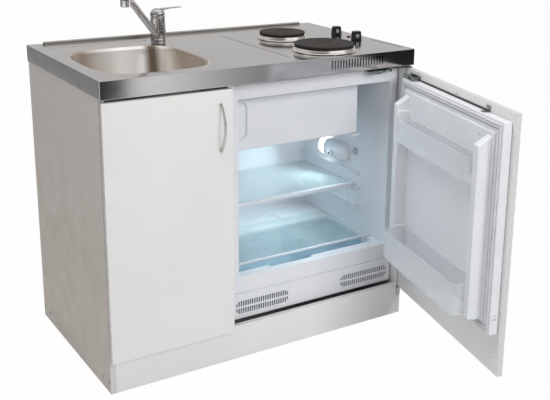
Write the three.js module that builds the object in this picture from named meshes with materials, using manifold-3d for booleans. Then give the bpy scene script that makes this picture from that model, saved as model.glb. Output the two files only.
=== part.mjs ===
// Kitchenette unit: pressed steel top with a bowl and two solid hotplates,
// a sink cupboard on the left and a built-in refrigerator on the right.
// Millimetres, +Z up, -Y is the front, origin under the middle of the plinth.
import * as THREE from 'three';
import { mergeVertices } from 'three/addons/utils/BufferGeometryUtils.js';
import Module from 'manifold-3d';

const wasm = await Module();
wasm.setup();

// ---------------------------------------------------------------- sizes
const WIDTH = 1000;            // worktop, left to right
const DEPTH = 600;             // worktop, front to back
const HEIGHT = 880;            // floor to the worktop's surface
const SEAT = 0.3;              // gap left between seated pieces
const FIT = 1;                 // gap round a piece that moves or drops in

const TOP_SHEET = 2;           // thickness of the pressed steel
const APRON = 50;              // drop of the worktop's edge
const BOARD = 16;              // coated chipboard
const PLINTH_H = 105;
const PLINTH_SETBACK = 20;     // plinth and board edges behind the worktop's edge
const PANEL_INSET = 2;         // side boards inside the worktop's ends
const FRONT_GAP = 2;           // doors in front of the board edges
const DOOR_BOTTOM = 98;
const DOOR_REVEAL = 8;         // apron's lower edge to the doors' upper edge
const DOOR_MARGIN = 3;         // worktop's end to the door's outer edge
const SINK_DOOR_W = 373;
const DOOR_GAP = 4;
const HINGE_EDGE = 4.5;        // pivot inside the door's outer edge
const HINGE_FACE = 10.5;       // pivot in front of the door's inner face

const yFront = BOARD / 2 - BOARD - PLINTH_SETBACK;      // worktop's front edge
const yBack = yFront + DEPTH;
const yBoards = yFront + PLINTH_SETBACK;                // front edges of the boards
const xLeft = -WIDTH / 2;
const xRight = WIDTH / 2;
const zDeck = HEIGHT - TOP_SHEET;                       // underside of the steel
const zApron = HEIGHT - APRON;
const DOOR_TOP = zApron - DOOR_REVEAL;
const yDoorBack = yBoards - FRONT_GAP;
const yDoorFront = yDoorBack - BOARD;
const xPanelL = xLeft + PANEL_INSET;                    // outer face, left board
const xPanelR = xRight - PANEL_INSET;
const zBoardTop = zDeck - SEAT;
const BACK_INSET = 4;                                   // side boards short of the back edge
const yBoardBack = yBack - BACK_INSET;

// sink cupboard
const SINK_INNER_W = 351;      // between side board and partition
const xPartL = xPanelL + BOARD + SINK_INNER_W;          // partition's left face
const xPartR = xPartL + BOARD;
const NOTCH_FLOOR = HEIGHT - 152;                       // partition is cut down under the bowl
const NOTCH_Y0 = yBoards + 20;
const NOTCH_Y1 = yBoardBack - 43;
const RAIL_H = 40;
const BACK_SHEET = 4;
const BACK_DROP = 90;          // back panel ends below the worktop

// bowl
const BOWL_X = xLeft + 206;
const BOWL_Y = yFront + 240;
const BOWL_A = 168;            // half widths of the outline
const BOWL_B = 194;
const BOWL_POWER = 3.5;        // superellipse exponent
const BOWL_DEPTH = 140;
const BOWL_WALL = 2;
const WASTE_R = 30;
const WASTE_SHIFT_Y = 20;

// mixer tap
const TAP_X = xLeft + 382;
const TAP_Y = yBack - 98;
const TAP_BODY_R = 23.5;
const TAP_CORE_R = 17;
const SHANK_R = 14;
const TAP_SEAM = 73;           // height of the seam under the lever cap
const SPOUT_ANGLE = 220;       // degrees from +X, seen from above
const SPOUT_REACH = 205;
const SPOUT_R = 10.5;
const LEVER_ANGLE = 15;
const LEVER_REACH = 92;
const SHANK_DROP = 62;         // threaded shank below the worktop's surface
const HOSE_R = 5;
const HOSE_STRAIGHT = 28;
const HOSE_BOW = 40;
const HOSE_DIP = 60;
const HOSE_DROP = 318;
const HOSE_WALL_GAP = 20;

// hob
const PLATE_X = xRight - 257;
const FRONT_Y = yFront + 112;
const REAR_Y = FRONT_Y + 242;
const REAR_R = 72.5;
const FRONT_R = 90;
const PLATE_LIFT = 22;         // plate's surface above the steel
const RING_OUT = 7;            // ring wider than the plate
const TRAY_X0 = PLATE_X - 135;
const TRAY_X1 = xRight - 26;
const TRAY_Y0 = yFront + 40;
const TRAY_Y1 = REAR_Y + 126;
const TRAY_H = 42;
const TRAY_SHEET = 1.5;
const KNOB_X = xRight - 62;
const KNOB_FRONT_Y = FRONT_Y + 108;
const KNOB_REAR_Y = KNOB_FRONT_Y + 112;
const KNOB_R = 17;
const KNOB_TOP_R = 13.5;
const KNOB_H = 27;
const SPINDLE_R = 3;
const LAMP_R = 5;
const LAMP_OFFSET_X = 10;

// refrigerator
const FR_X0 = xPartR + 7;      // running room beside the partition and the board
const FR_X1 = xPanelR - BOARD - 6;
const FR_Y0 = yBoards + 30;    // set back for the door's liner
const FR_Y1 = yBoardBack - 16;
const FR_Z0 = 190;
const FR_Z1 = zApron - 12;
const CAV_X0 = FR_X0 + 25;
const CAV_X1 = FR_X1 - 26;
const CAV_Y1 = FR_Y1 - 34;
const CAV_Z0 = FR_Z0 + 50;
const CAV_Z1 = FR_Z1 - 42;
const WELL_X0 = CAV_X0 + 17;
const WELL_X1 = CAV_X1 - 17;
const WELL_Y0 = FR_Y0 + 40;
const WELL_Y1 = WELL_Y0 + 268;
const WELL_Z = CAV_Z0 - 90;
const WELL_WALL = 26;
const GRILLE_T = 8;
const GRILLE_Z0 = PLINTH_H + 4;
const BASE_SHEET = 3;
const BASE_Z = 26;
const SHELF_Z = CAV_Z0 + 157;
const SHELF_Y0 = FR_Y0 + 170;
const GLASS_T = 4;
const COVER_Y0 = WELL_Y0 + 43;
const FLAP_Y = FR_Y0 + 53;
const FLAP_T = 12;
const FLAP_X1 = CAV_X1 - 84;
const FLAP_Z0 = CAV_Z1 - 167;
const FLAP_Z1 = CAV_Z1 - 14;
const LAMP_BOX_Y0 = SHELF_Y0 + 33;
const LAMP_BOX_Y1 = LAMP_BOX_Y0 + 150;
const LAMP_BOX_Z = (SHELF_Z + FLAP_Z0) / 2 - 11;
const LAMP_BOX_H = 60;
const LAMP_BOX_T = 38;
const DIAL_R = 14;
const SWITCH_Y = LAMP_BOX_Y0 - 31;
const SWITCH_Z = LAMP_BOX_Z + 15;

// refrigerator door, drawn closed and then turned to its open angle
const DOOR_OPEN = 77.5;
const FD_X1 = FR_X1 - 6;
const FD_Z0 = CAV_Z0 - 22;
const FD_Z1 = CAV_Z1 + 22;
const FD_T = 26;
const GASKET_T = 4.6;
const GASKET_W = 14;
const RIB_W = 26;
const RIB_Y = yBoards + 68;
const RIB_Z0 = FD_Z0 + 32;
const RIB_Z1 = FD_Z1 - 41;
const BIN_WALL = 2.5;
const BIN_UP_Z0 = FD_Z1 - 178;
const BIN_UP_Z1 = BIN_UP_Z0 + 70;
const BIN_UP_Y = RIB_Y + 8;
const BIN_LOW_Z0 = RIB_Z0 + 2;
const BIN_LOW_Z1 = BIN_LOW_Z0 + 93;
const BIN_LOW_Y = RIB_Y + 35;

// ---------------------------------------------------------------- helpers
const RAD = Math.PI / 180;

// a closed three.js geometry as a solid
function solid(geometry) {
  let g = geometry.clone();
  for (const name of Object.keys(g.attributes)) {
    if (name !== 'position') g.deleteAttribute(name);
  }
  g = mergeVertices(g, 1e-4);
  const index = g.index.array;
  const tris = [];
  for (let i = 0; i < index.length; i += 3) {
    const [a, b, c] = [index[i], index[i + 1], index[i + 2]];
    if (a !== b && b !== c && c !== a) tris.push(a, b, c);
  }
  return new wasm.Manifold(new wasm.Mesh({
    numProp: 3,
    vertProperties: new Float32Array(g.attributes.position.array),
    triVerts: new Uint32Array(tris),
  }));
}

function shape3(body) {
  const mesh = body.getMesh();
  const g = new THREE.BufferGeometry();
  g.setAttribute('position', new THREE.BufferAttribute(new Float32Array(mesh.vertProperties), 3));
  g.setIndex(new THREE.BufferAttribute(new Uint32Array(mesh.triVerts), 1));
  g.computeVertexNormals();
  return g;
}

const join = (first, ...rest) => rest.reduce((sum, body) => sum.add(body), first);
const cut = (first, ...rest) => rest.reduce((sum, body) => sum.subtract(body), first);

function box(x0, x1, y0, y1, z0, z1) {
  const g = new THREE.BoxGeometry(x1 - x0, y1 - y0, z1 - z0);
  g.translate((x0 + x1) / 2, (y0 + y1) / 2, (z0 + z1) / 2);
  return solid(g);
}

// upright turned solid: profile is [radius, z] from the axis back to the axis
function turned(profile, x, y, segments = 32) {
  const points = profile.map(([r, z]) => new THREE.Vector2(r, z));
  const g = new THREE.LatheGeometry(points, segments);
  g.rotateX(Math.PI / 2);
  g.translate(x, y, 0);
  return solid(g);
}

const upright = (r, x, y, z0, z1, segments = 32) =>
  turned([[0, z0], [r, z0], [r, z1], [0, z1]], x, y, segments);

// round bar between two points
function bar(from, to, r, segments = 16) {
  const a = new THREE.Vector3(...from);
  const b = new THREE.Vector3(...to);
  const g = new THREE.CylinderGeometry(r, r, a.distanceTo(b), segments);
  g.applyQuaternion(new THREE.Quaternion().setFromUnitVectors(
    new THREE.Vector3(0, 1, 0), b.clone().sub(a).normalize()));
  const mid = a.clone().add(b).multiplyScalar(0.5);
  g.translate(mid.x, mid.y, mid.z);
  return solid(g);
}

function sweep(points, r, segments = 10, steps = 40) {
  const circle = new THREE.Shape();
  circle.absarc(0, 0, r, 0, Math.PI * 2, false);
  const path = new THREE.CatmullRomCurve3(points.map((p) => new THREE.Vector3(...p)));
  return solid(new THREE.ExtrudeGeometry(circle, {
    steps, curveSegments: segments, bevelEnabled: false, extrudePath: path,
  }));
}

// outline in one plane pushed along the third axis: 'x' (y,z), 'y' (x,z) or 'z' (x,y)
function prism(outline, axis, low, high) {
  const s = new THREE.Shape(outline.map(([u, v]) => new THREE.Vector2(u, v)));
  const g = new THREE.ExtrudeGeometry(s, { depth: high - low, bevelEnabled: false });
  if (axis === 'z') g.translate(0, 0, low);
  if (axis === 'x') {
    g.applyMatrix4(new THREE.Matrix4().set(0, 0, 1, low, 1, 0, 0, 0, 0, 1, 0, 0, 0, 0, 0, 1));
  }
  if (axis === 'y') {
    g.applyMatrix4(new THREE.Matrix4().set(1, 0, 0, 0, 0, 0, -1, high, 0, 1, 0, 0, 0, 0, 0, 1));
  }
  return solid(g);
}

// stacked rings, each [z, half width, half depth, exponent], closed at both ends
function stacked(rings, x, y, segments = 48) {
  const positions = [];
  const index = [];
  for (const [z, a, b, n] of rings) {
    for (let i = 0; i < segments; i += 1) {
      const t = (i / segments) * Math.PI * 2;
      const c = Math.cos(t);
      const s = Math.sin(t);
      positions.push(x + a * Math.sign(c) * Math.abs(c) ** (2 / n),
        y + b * Math.sign(s) * Math.abs(s) ** (2 / n), z);
    }
  }
  for (let k = 0; k + 1 < rings.length; k += 1) {
    for (let i = 0; i < segments; i += 1) {
      const j = (i + 1) % segments;
      const [p, q] = [k * segments + i, k * segments + j];
      index.push(p, q, q + segments, p, q + segments, p + segments);
    }
  }
  const low = positions.length / 3;
  positions.push(x, y, rings[0][0], x, y, rings[rings.length - 1][0]);
  const last = (rings.length - 1) * segments;
  for (let i = 0; i < segments; i += 1) {
    const j = (i + 1) % segments;
    index.push(low, j, i, low + 1, last + i, last + j);
  }
  const g = new THREE.BufferGeometry();
  g.setAttribute('position', new THREE.BufferAttribute(new Float32Array(positions), 3));
  g.setIndex(index);
  return solid(g);
}

const finish = (color, roughness, metalness, extra = {}) =>
  new THREE.MeshStandardMaterial({ color, roughness, metalness, ...extra });
const steel = finish(0xb4b1b0, 0.32, 1);
const chrome = finish(0xd8d8da, 0.08, 1);
const white = finish(0xdedede, 0.5, 0);
const plastic = finish(0xe2e4e9, 0.4, 0);
const clear = finish(0xcfe2e8, 0.1, 0, { transparent: true, opacity: 0.4 });
const iron = finish(0x34312f, 0.6, 0.4);
const black = finish(0x141414, 0.35, 0);
const zinc = finish(0x9aa09c, 0.35, 1);
const grey = finish(0x9c9ea2, 0.5, 0);
const rubber = finish(0xd5d6d9, 0.7, 0);
const blackSteel = finish(0x2a2c2e, 0.45, 0.6);
const lamp = finish(0xffffff, 0.3, 0);

const unit = new THREE.Group();
function put(name, body, material, parent = unit) {
  const mesh = new THREE.Mesh(shape3(body), material);
  mesh.name = name;
  parent.add(mesh);
  return mesh;
}

// ---------------------------------------------------------------- worktop
// bowl rings from the rim down: [depth below the surface, inset]
const BOWL_PROFILE = [[0, 0], [3, 3.5], [9, 6], [BOWL_DEPTH * 0.72, 15],
  [BOWL_DEPTH * 0.9, 27], [BOWL_DEPTH * 0.97, 45], [BOWL_DEPTH, 80]];
const bowlInner = [[-2, 0], ...BOWL_PROFILE].reverse()
  .map(([d, inset]) => [HEIGHT - d, BOWL_A - inset, BOWL_B - inset, BOWL_POWER]);
const bowlOuter = [[TOP_SHEET / 2, 0], ...BOWL_PROFILE.slice(1)].reverse()
  .map(([d, inset]) => [HEIGHT - d - (d > TOP_SHEET ? BOWL_WALL : 0),
    BOWL_A - inset + BOWL_WALL, BOWL_B - inset + BOWL_WALL, BOWL_POWER]);
const wasteY = BOWL_Y + WASTE_SHIFT_Y;
const zBowlFloor = HEIGHT - BOWL_DEPTH;

const BEAD_H = 1.4;
const BEAD_W = 6;
const bead = (x0, x1, y0, y1) => box(x0, x1, y0, y1, zDeck + TOP_SHEET / 2, HEIGHT + BEAD_H);
const UPSTAND_H = 10;
const UPSTAND_Y = yBack - 22;
const SLOTS = 19;
const SLOT_PITCH = 10;
const SLOT_W = 4;
const SLOT_X0 = xRight - 302;
const SLOT_H = 26;

let top = box(xLeft, xRight, yFront, yBack, zApron, HEIGHT);
top = cut(top, box(xLeft + TOP_SHEET, xRight - TOP_SHEET, yFront + TOP_SHEET, yBack - TOP_SHEET,
  zApron - 5, zDeck));
top = join(top, stacked(bowlOuter, BOWL_X, BOWL_Y));
top = cut(top, stacked(bowlInner, BOWL_X, BOWL_Y),
  upright(WASTE_R - 3, BOWL_X, wasteY, zBowlFloor - 20, zBowlFloor + 5));
top = join(top,
  box(xLeft + 45, xRight - 48, UPSTAND_Y, UPSTAND_Y + 10, zDeck + 1, HEIGHT + UPSTAND_H),
  bead(xLeft + 25, TAP_X - TAP_BODY_R - 12, TAP_Y + 6, TAP_Y + 6 + BEAD_W),
  bead(PLATE_X - 155, PLATE_X - 155 + BEAD_W, yFront + 58, REAR_Y + 122),
  bead(PLATE_X - 65, PLATE_X - 7, REAR_Y + 142, REAR_Y + 142 + BEAD_W),
  bead(xRight - 18, xRight - 18 + BEAD_W, yFront + 47, yFront + 196));
top = cut(top,
  upright(SHANK_R + FIT, TAP_X, TAP_Y, zDeck - 5, HEIGHT + 5),
  upright(REAR_R - 14, PLATE_X, REAR_Y, zDeck - 5, HEIGHT + 5),
  upright(FRONT_R - 14, PLATE_X, FRONT_Y, zDeck - 5, HEIGHT + 5),
  upright(SPINDLE_R + FIT, KNOB_X, KNOB_REAR_Y, zDeck - 5, HEIGHT + 5, 16),
  upright(SPINDLE_R + FIT, KNOB_X, KNOB_FRONT_Y, zDeck - 5, HEIGHT + 5, 16),
  upright(LAMP_R, KNOB_X + LAMP_OFFSET_X, (KNOB_REAR_Y + KNOB_FRONT_Y) / 2, zDeck - 5, HEIGHT + 5, 16));
for (let i = 0; i < SLOTS; i += 1) {
  const x = SLOT_X0 + i * SLOT_PITCH;
  top = cut(top, box(x - SLOT_W / 2, x + SLOT_W / 2, yFront - 5, yFront + 5,
    zApron + 13, zApron + 13 + SLOT_H));
}
put('worktop', top, steel);

// ---------------------------------------------------------------- cupboard boards
put('side_panel_left', box(xPanelL, xPanelL + BOARD, yBoards, yBoardBack, 0, zBoardTop), white);
put('side_panel_right', box(xPanelR - BOARD, xPanelR, yBoards, yBoardBack, 0, zBoardTop), white);
put('plinth', box(xPanelL + BOARD, xPanelR - BOARD, yBoards, yBoards + BOARD, 0, PLINTH_H), white);
put('partition', cut(
  box(xPartL, xPartR, yBoards, yBoardBack, 0, zBoardTop),
  box(xPartL - 5, xPartR + 5, yBoards - 5, yBoards + BOARD + SEAT, -5, PLINTH_H + SEAT),
  box(xPartL - 5, xPartR + 5, NOTCH_Y0, NOTCH_Y1, NOTCH_FLOOR, HEIGHT)), white);
put('base_panel', box(xPanelL + BOARD, xPartL, yBoards, yBoardBack - BACK_SHEET - SEAT,
  PLINTH_H + SEAT, PLINTH_H + SEAT + BOARD), white);
put('back_panel', box(xPanelL + BOARD, xPartL, yBoardBack - BACK_SHEET, yBoardBack,
  PLINTH_H + SEAT, zBoardTop - BACK_DROP), white);
put('front_rail', box(xPanelL + BOARD, xPartL, yBoards, yBoards + BOARD,
  zBoardTop - RAIL_H, zBoardTop), white);
put('rear_rail', box(xPartR, xPanelR - BOARD, yBoardBack - BOARD, yBoardBack,
  zBoardTop - RAIL_H, zBoardTop), white);

// ---------------------------------------------------------------- sink cupboard door
const xDoorL = xLeft + DOOR_MARGIN;
const xDoorR = xDoorL + SINK_DOOR_W;
const hingeX = xDoorL + HINGE_EDGE;
const hingeY = yDoorBack - HINGE_FACE;
const CUP_Z = [DOOR_BOTTOM + 95, DOOR_TOP - 95];
const CUP_H = 44;
const CUP_X0 = -3;             // cup about the pivot, along X and Y
const CUP_X1 = 35;
const CUP_Y0 = -3.6;
const CUP_SHEET = 0.6;
const HANDLE_X = xDoorR - 38;
const HANDLE_Z = DOOR_TOP - 105;
const HANDLE_HALF = 64;
const HANDLE_W = 12;
const HANDLE_T = 4;
const HANDLE_BOW = 28;
const PEG_R = 3.5;

let sinkDoor = box(xDoorL, xDoorR, yDoorFront, yDoorBack, DOOR_BOTTOM, DOOR_TOP);
for (const z of CUP_Z) {
  sinkDoor = cut(sinkDoor, box(hingeX + CUP_X0 - SEAT, hingeX + CUP_X1 + SEAT,
    hingeY + CUP_Y0 - SEAT, yDoorBack + 5, z - CUP_H / 2 - SEAT, z + CUP_H / 2 + SEAT));
}
put('cupboard_door', sinkDoor, white);

// hinge cup sunk in the door: thin dish with two screw ears
function hingeCup(z) {
  const dish = cut(
    box(hingeX + CUP_X0, hingeX + CUP_X1, hingeY + CUP_Y0, yDoorBack + 0.2, z - CUP_H / 2, z + CUP_H / 2),
    box(hingeX + CUP_X0 + CUP_SHEET, hingeX + CUP_X1 - CUP_SHEET, hingeY + CUP_Y0 + CUP_SHEET,
      yDoorBack + 5, z - CUP_H / 2 + CUP_SHEET, z + CUP_H / 2 - CUP_SHEET));
  const ear = (s) => box(hingeX + 16, hingeX + CUP_X1 - 2, yDoorBack + 0.1, yDoorBack + 1.1,
    s > 0 ? z + CUP_H / 2 - 0.6 : z - CUP_H / 2 - 12, s > 0 ? z + CUP_H / 2 + 12 : z - CUP_H / 2 + 0.6);
  return join(dish, ear(1), ear(-1));
}
// cranked arm from the side board round the door's lip to the pivot
const ARM_W = 14;
const panelIn = xPanelL + BOARD - hingeX + 0.2;         // board's inner face, from the pivot
const armClear = panelIn + 1.6;
function hingeArm(z) {
  const outline = [[-1.6, -2.3], [armClear + 2, -2.3], [armClear + 2, 72], [panelIn, 72],
    [panelIn, hingeBoardY + 1], [armClear, hingeBoardY + 0.5], [armClear, -1.1], [1.8, -1.1],
    [1.8, 1.2], [-1.6, 1.2]];
  return prism(outline.map(([x, y]) => [hingeX + x, hingeY + y]), 'z', z - ARM_W / 2, z + ARM_W / 2);
}
const hingeBoardY = yBoards - hingeY;
put('hinge_cup_lower', hingeCup(CUP_Z[0]), zinc);
put('hinge_cup_upper', hingeCup(CUP_Z[1]), zinc);
put('hinge_arm_lower', hingeArm(CUP_Z[0]), zinc);
put('hinge_arm_upper', hingeArm(CUP_Z[1]), zinc);

// bow handle: flat strip on two pegs
const bowOutline = [];
const BOW_STEPS = 14;
for (let i = 0; i <= BOW_STEPS; i += 1) {
  const t = -1 + (2 * i) / BOW_STEPS;
  bowOutline.push([yDoorFront - 4 - (HANDLE_BOW - 4) * (1 - t * t), HANDLE_Z + t * (HANDLE_HALF + 5)]);
}
for (let i = BOW_STEPS; i >= 0; i -= 1) {
  const t = -1 + (2 * i) / BOW_STEPS;
  bowOutline.push([yDoorFront - 4 + HANDLE_T - (HANDLE_BOW - 4) * (1 - t * t) - SEAT,
    HANDLE_Z + t * (HANDLE_HALF + 5)]);
}
const peg = (z) => bar([HANDLE_X, yDoorFront - SEAT, z], [HANDLE_X, yDoorFront - 8, z], PEG_R);
put('door_handle', join(
  prism(bowOutline, 'x', HANDLE_X - HANDLE_W / 2, HANDLE_X + HANDLE_W / 2),
  peg(HANDLE_Z - HANDLE_HALF), peg(HANDLE_Z + HANDLE_HALF)), chrome);

// ---------------------------------------------------------------- waste and trap
const WASTE_FLANGE = 35;
const zWaste = zBowlFloor;
const TAIL = 60;               // tail of the waste below the bowl's floor
const zTrapTop = zWaste - TAIL - 10;
let waste = turned([[0, zWaste - TAIL], [22, zWaste - TAIL], [22, zWaste - 12],
  [WASTE_R - 3 - FIT, zWaste - 8], [WASTE_R - 3 - FIT, zWaste + SEAT], [WASTE_FLANGE, zWaste + SEAT],
  [WASTE_FLANGE - 2, zWaste + 2], [0, zWaste + 2]], BOWL_X, wasteY, 32);
waste = cut(waste, turned([[0, zWaste - 3], [WASTE_R - 7, zWaste - 3], [WASTE_R - 4, zWaste + 5],
  [0, zWaste + 5]], BOWL_X, wasteY, 32));
for (let i = 0; i < 6; i += 1) {
  const a = i * 60 * RAD;
  waste = cut(waste, upright(4, BOWL_X + 13 * Math.cos(a), wasteY + 13 * Math.sin(a),
    zWaste - 70, zWaste + 5, 12));
}
put('waste_fitting', waste, chrome);
put('waste_nut', cut(upright(42, BOWL_X, wasteY, zWaste - 32, zWaste - BOWL_WALL - SEAT, 8),
  upright(WASTE_R, BOWL_X, wasteY, zWaste - 13, zWaste + 5),
  upright(22.5, BOWL_X, wasteY, zWaste - 40, zWaste + 5)), plastic);
// bottle trap with its outlet pipe to the back
const TRAP_R = 30;
const TRAP_H = 150;
const zTrapBottom = zTrapTop - TRAP_H;
const zOutlet = zTrapTop - 55;
put('bottle_trap', join(
  turned([[0, zTrapBottom], [TRAP_R - 6, zTrapBottom], [TRAP_R, zTrapBottom + 8],
    [TRAP_R, zTrapTop - 20], [26, zTrapTop - 8], [26, zWaste - TAIL - SEAT], [0, zWaste - TAIL - SEAT]],
  BOWL_X, wasteY, 24),
  bar([BOWL_X, wasteY, zOutlet], [BOWL_X, yBoardBack - BACK_SHEET - 1, zOutlet], 20)), plastic);

// ---------------------------------------------------------------- mixer tap
const zTap = HEIGHT + SEAT;
const zSeam = HEIGHT + TAP_SEAM;
const SPOUT_Z0 = zTap + 9;     // spout's ring turns between foot and body
const SPOUT_Z1 = zTap + 33;
put('mixer_body', turned([[0, HEIGHT - SHANK_DROP], [SHANK_R, HEIGHT - SHANK_DROP], [SHANK_R, zTap], [TAP_BODY_R, zTap],
  [TAP_BODY_R, SPOUT_Z0 - SEAT], [TAP_CORE_R, SPOUT_Z0 - SEAT], [TAP_CORE_R, SPOUT_Z1 + SEAT],
  [TAP_BODY_R, SPOUT_Z1 + SEAT], [TAP_BODY_R, zSeam], [0, zSeam]], TAP_X, TAP_Y), chrome);
put('mixer_nut', cut(upright(22, TAP_X, TAP_Y, zDeck - 12, zDeck - SEAT, 6),
  upright(SHANK_R + 0.4, TAP_X, TAP_Y, zDeck - 20, HEIGHT)), zinc);

const sx = Math.cos(SPOUT_ANGLE * RAD);
const sy = Math.sin(SPOUT_ANGLE * RAD);
const OUTLET_Z = HEIGHT + 128; // lower rim of the aerator's housing
const AERATOR_R = 12;
const along = (d, z) => [TAP_X + sx * d, TAP_Y + sy * d, z];
const spoutTube = sweep([along(TAP_CORE_R + 3, SPOUT_Z0 + 12), along(60, SPOUT_Z0 + 50),
  along(SPOUT_REACH * 0.6, SPOUT_Z0 + 97), along(SPOUT_REACH - 42, OUTLET_Z + 14),
  along(SPOUT_REACH - 20, OUTLET_Z + 20.5), along(SPOUT_REACH - 4, OUTLET_Z + 21)], SPOUT_R, 8, 24);
const spoutRing = upright(TAP_BODY_R + 0.6, TAP_X, TAP_Y, SPOUT_Z0, SPOUT_Z1);
const spoutHead = cut(
  upright(AERATOR_R + 2.5, ...along(SPOUT_REACH, 0).slice(0, 2), OUTLET_Z, OUTLET_Z + 32, 24),
  upright(AERATOR_R, ...along(SPOUT_REACH, 0).slice(0, 2), OUTLET_Z - 5, OUTLET_Z + 10, 24));
put('mixer_spout', cut(join(spoutTube, spoutRing, spoutHead),
  upright(TAP_CORE_R + SEAT, TAP_X, TAP_Y, zTap - 20, SPOUT_Z1 + 20),
  upright(TAP_BODY_R + FIT, TAP_X, TAP_Y, SPOUT_Z1, SPOUT_Z1 + 60),
  upright(TAP_BODY_R + FIT, TAP_X, TAP_Y, SPOUT_Z0 - 30, SPOUT_Z0)), chrome);
put('mixer_aerator', cut(
  upright(AERATOR_R - SEAT, ...along(SPOUT_REACH, 0).slice(0, 2), OUTLET_Z - 1, OUTLET_Z + 10 - SEAT, 24),
  upright(AERATOR_R - 3, ...along(SPOUT_REACH, 0).slice(0, 2), OUTLET_Z - 5, OUTLET_Z + 3, 24)), grey);

const CARTRIDGE_R = 13;
const CAP_R = TAP_BODY_R;
const CAP_H = 22;
const CAP_WALL = 3.5;
put('mixer_cartridge', upright(CARTRIDGE_R, TAP_X, TAP_Y, zSeam + SEAT, zSeam + 15), grey);
const lever = new THREE.Group();
lever.position.set(TAP_X, TAP_Y, 0);
lever.rotation.z = LEVER_ANGLE * RAD;
unit.add(lever);
const leverOutline = [[-8, zSeam + CAP_H - 7], [16, zSeam + CAP_H - 5], [40, zSeam + CAP_H - 3],
  [LEVER_REACH, zSeam + CAP_H - 1], [LEVER_REACH, zSeam + CAP_H + 2], [40, zSeam + CAP_H + 2.5],
  [0, zSeam + CAP_H + 1]];
put('mixer_lever', join(
  cut(turned([[0, zSeam + 0.6], [CAP_R - 0.6, zSeam + 0.6], [CAP_R, zSeam + 3], [CAP_R - 0.5, zSeam + 15],
    [CAP_R - 6, zSeam + CAP_H - 1.5], [0, zSeam + CAP_H]], 0, 0),
  upright(CAP_R - CAP_WALL, 0, 0, zSeam - 5, zSeam + 15 + FIT)),
  prism(leverOutline, 'y', -8, 8)), chrome, lever);

// supply hoses inside the cupboard
const zShank = HEIGHT - SHANK_DROP;
const yHose = yBoardBack - BACK_SHEET - HOSE_WALL_GAP;
const zHoseEnd = zShank - HOSE_DROP;
const hose = (dx, dy, endX) => sweep([[TAP_X + dx, TAP_Y + dy, zShank - 2 * SEAT],
  [TAP_X + dx, TAP_Y + dy, zShank - HOSE_STRAIGHT], [TAP_X - HOSE_BOW + dx, TAP_Y + 6 + dy, zShank - HOSE_STRAIGHT - HOSE_DIP],
  [endX, (TAP_Y + yHose) / 2 - HOSE_R, zHoseEnd + 140], [endX, yHose, zHoseEnd + 50],
  [endX, yHose, zHoseEnd]], HOSE_R, 5, 26);
put('hose_cold', hose(-6, 4, TAP_X - 60), zinc);
put('hose_hot', hose(-6, -8, TAP_X - 100), zinc);

// ---------------------------------------------------------------- hob
function hotplate(y, r) {
  const zTop = HEIGHT + PLATE_LIFT;
  const under = r - 20;
  return turned([[0, zDeck - 14], [under, zDeck - 14], [under, zTop - 9], [r - 2, zTop - 8], [r, zTop - 5],
    [r, zTop - 1.5], [r - 1.5, zTop], [22, zTop], [20, zTop - 2], [0, zTop - 2]], PLATE_X, y, 40);
}
function hotplateRing(y, r) {
  const zTop = HEIGHT + PLATE_LIFT;
  const out = r + RING_OUT;
  return turned([[r - 12, HEIGHT + SEAT], [out, HEIGHT + SEAT], [out, HEIGHT + 3],
    [r + 1, zTop - 9], [r - 3, zTop - 8.4], [r - 12, zTop - 9.4], [r - 12, HEIGHT + SEAT]], PLATE_X, y, 40);
}
put('hotplate_rear', hotplate(REAR_Y, REAR_R), iron);
put('hotplate_rear_ring', hotplateRing(REAR_Y, REAR_R), chrome);
put('hotplate_front', hotplate(FRONT_Y, FRONT_R), iron);
put('hotplate_front_ring', hotplateRing(FRONT_Y, FRONT_R), chrome);

const zTray = zDeck - TRAY_H;
put('hob_tray', cut(box(TRAY_X0, TRAY_X1, TRAY_Y0, TRAY_Y1, zTray, zDeck - SEAT),
  box(TRAY_X0 + TRAY_SHEET, TRAY_X1 - TRAY_SHEET, TRAY_Y0 + TRAY_SHEET, TRAY_Y1 - TRAY_SHEET,
    zTray + TRAY_SHEET, HEIGHT)), zinc);
const SWITCH_BOX = 36;
const energySwitch = (y) => cut(
  box(KNOB_X - SWITCH_BOX / 2, KNOB_X + SWITCH_BOX / 2, y - SWITCH_BOX / 2, y + SWITCH_BOX / 2,
    zDeck - 30, zDeck - SEAT),
  upright(SPINDLE_R + 0.4, KNOB_X, y, zDeck - 22, HEIGHT, 16));
put('hob_switch_rear', energySwitch(KNOB_REAR_Y), black);
put('hob_switch_front', energySwitch(KNOB_FRONT_Y), black);
const knob = (y) => turned([[0, zDeck - 20], [SPINDLE_R, zDeck - 20], [SPINDLE_R, HEIGHT + 1],
  [KNOB_R, HEIGHT + 1], [KNOB_R, HEIGHT + 4], [KNOB_TOP_R, HEIGHT + KNOB_H - 2],
  [KNOB_TOP_R - 2, HEIGHT + KNOB_H], [0, HEIGHT + KNOB_H]], KNOB_X, y, 24);
put('knob_rear', knob(KNOB_REAR_Y), black);
put('knob_front', knob(KNOB_FRONT_Y), black);
put('hob_lamp', turned([[0, zDeck - 12], [LAMP_R - SEAT, zDeck - 12], [LAMP_R - SEAT, HEIGHT + SEAT],
  [LAMP_R + 1.5, HEIGHT + SEAT], [LAMP_R, HEIGHT + 3], [0, HEIGHT + 3.6]],
KNOB_X + LAMP_OFFSET_X, (KNOB_REAR_Y + KNOB_FRONT_Y) / 2, 16), finish(0xc8642a, 0.3, 0));

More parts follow.
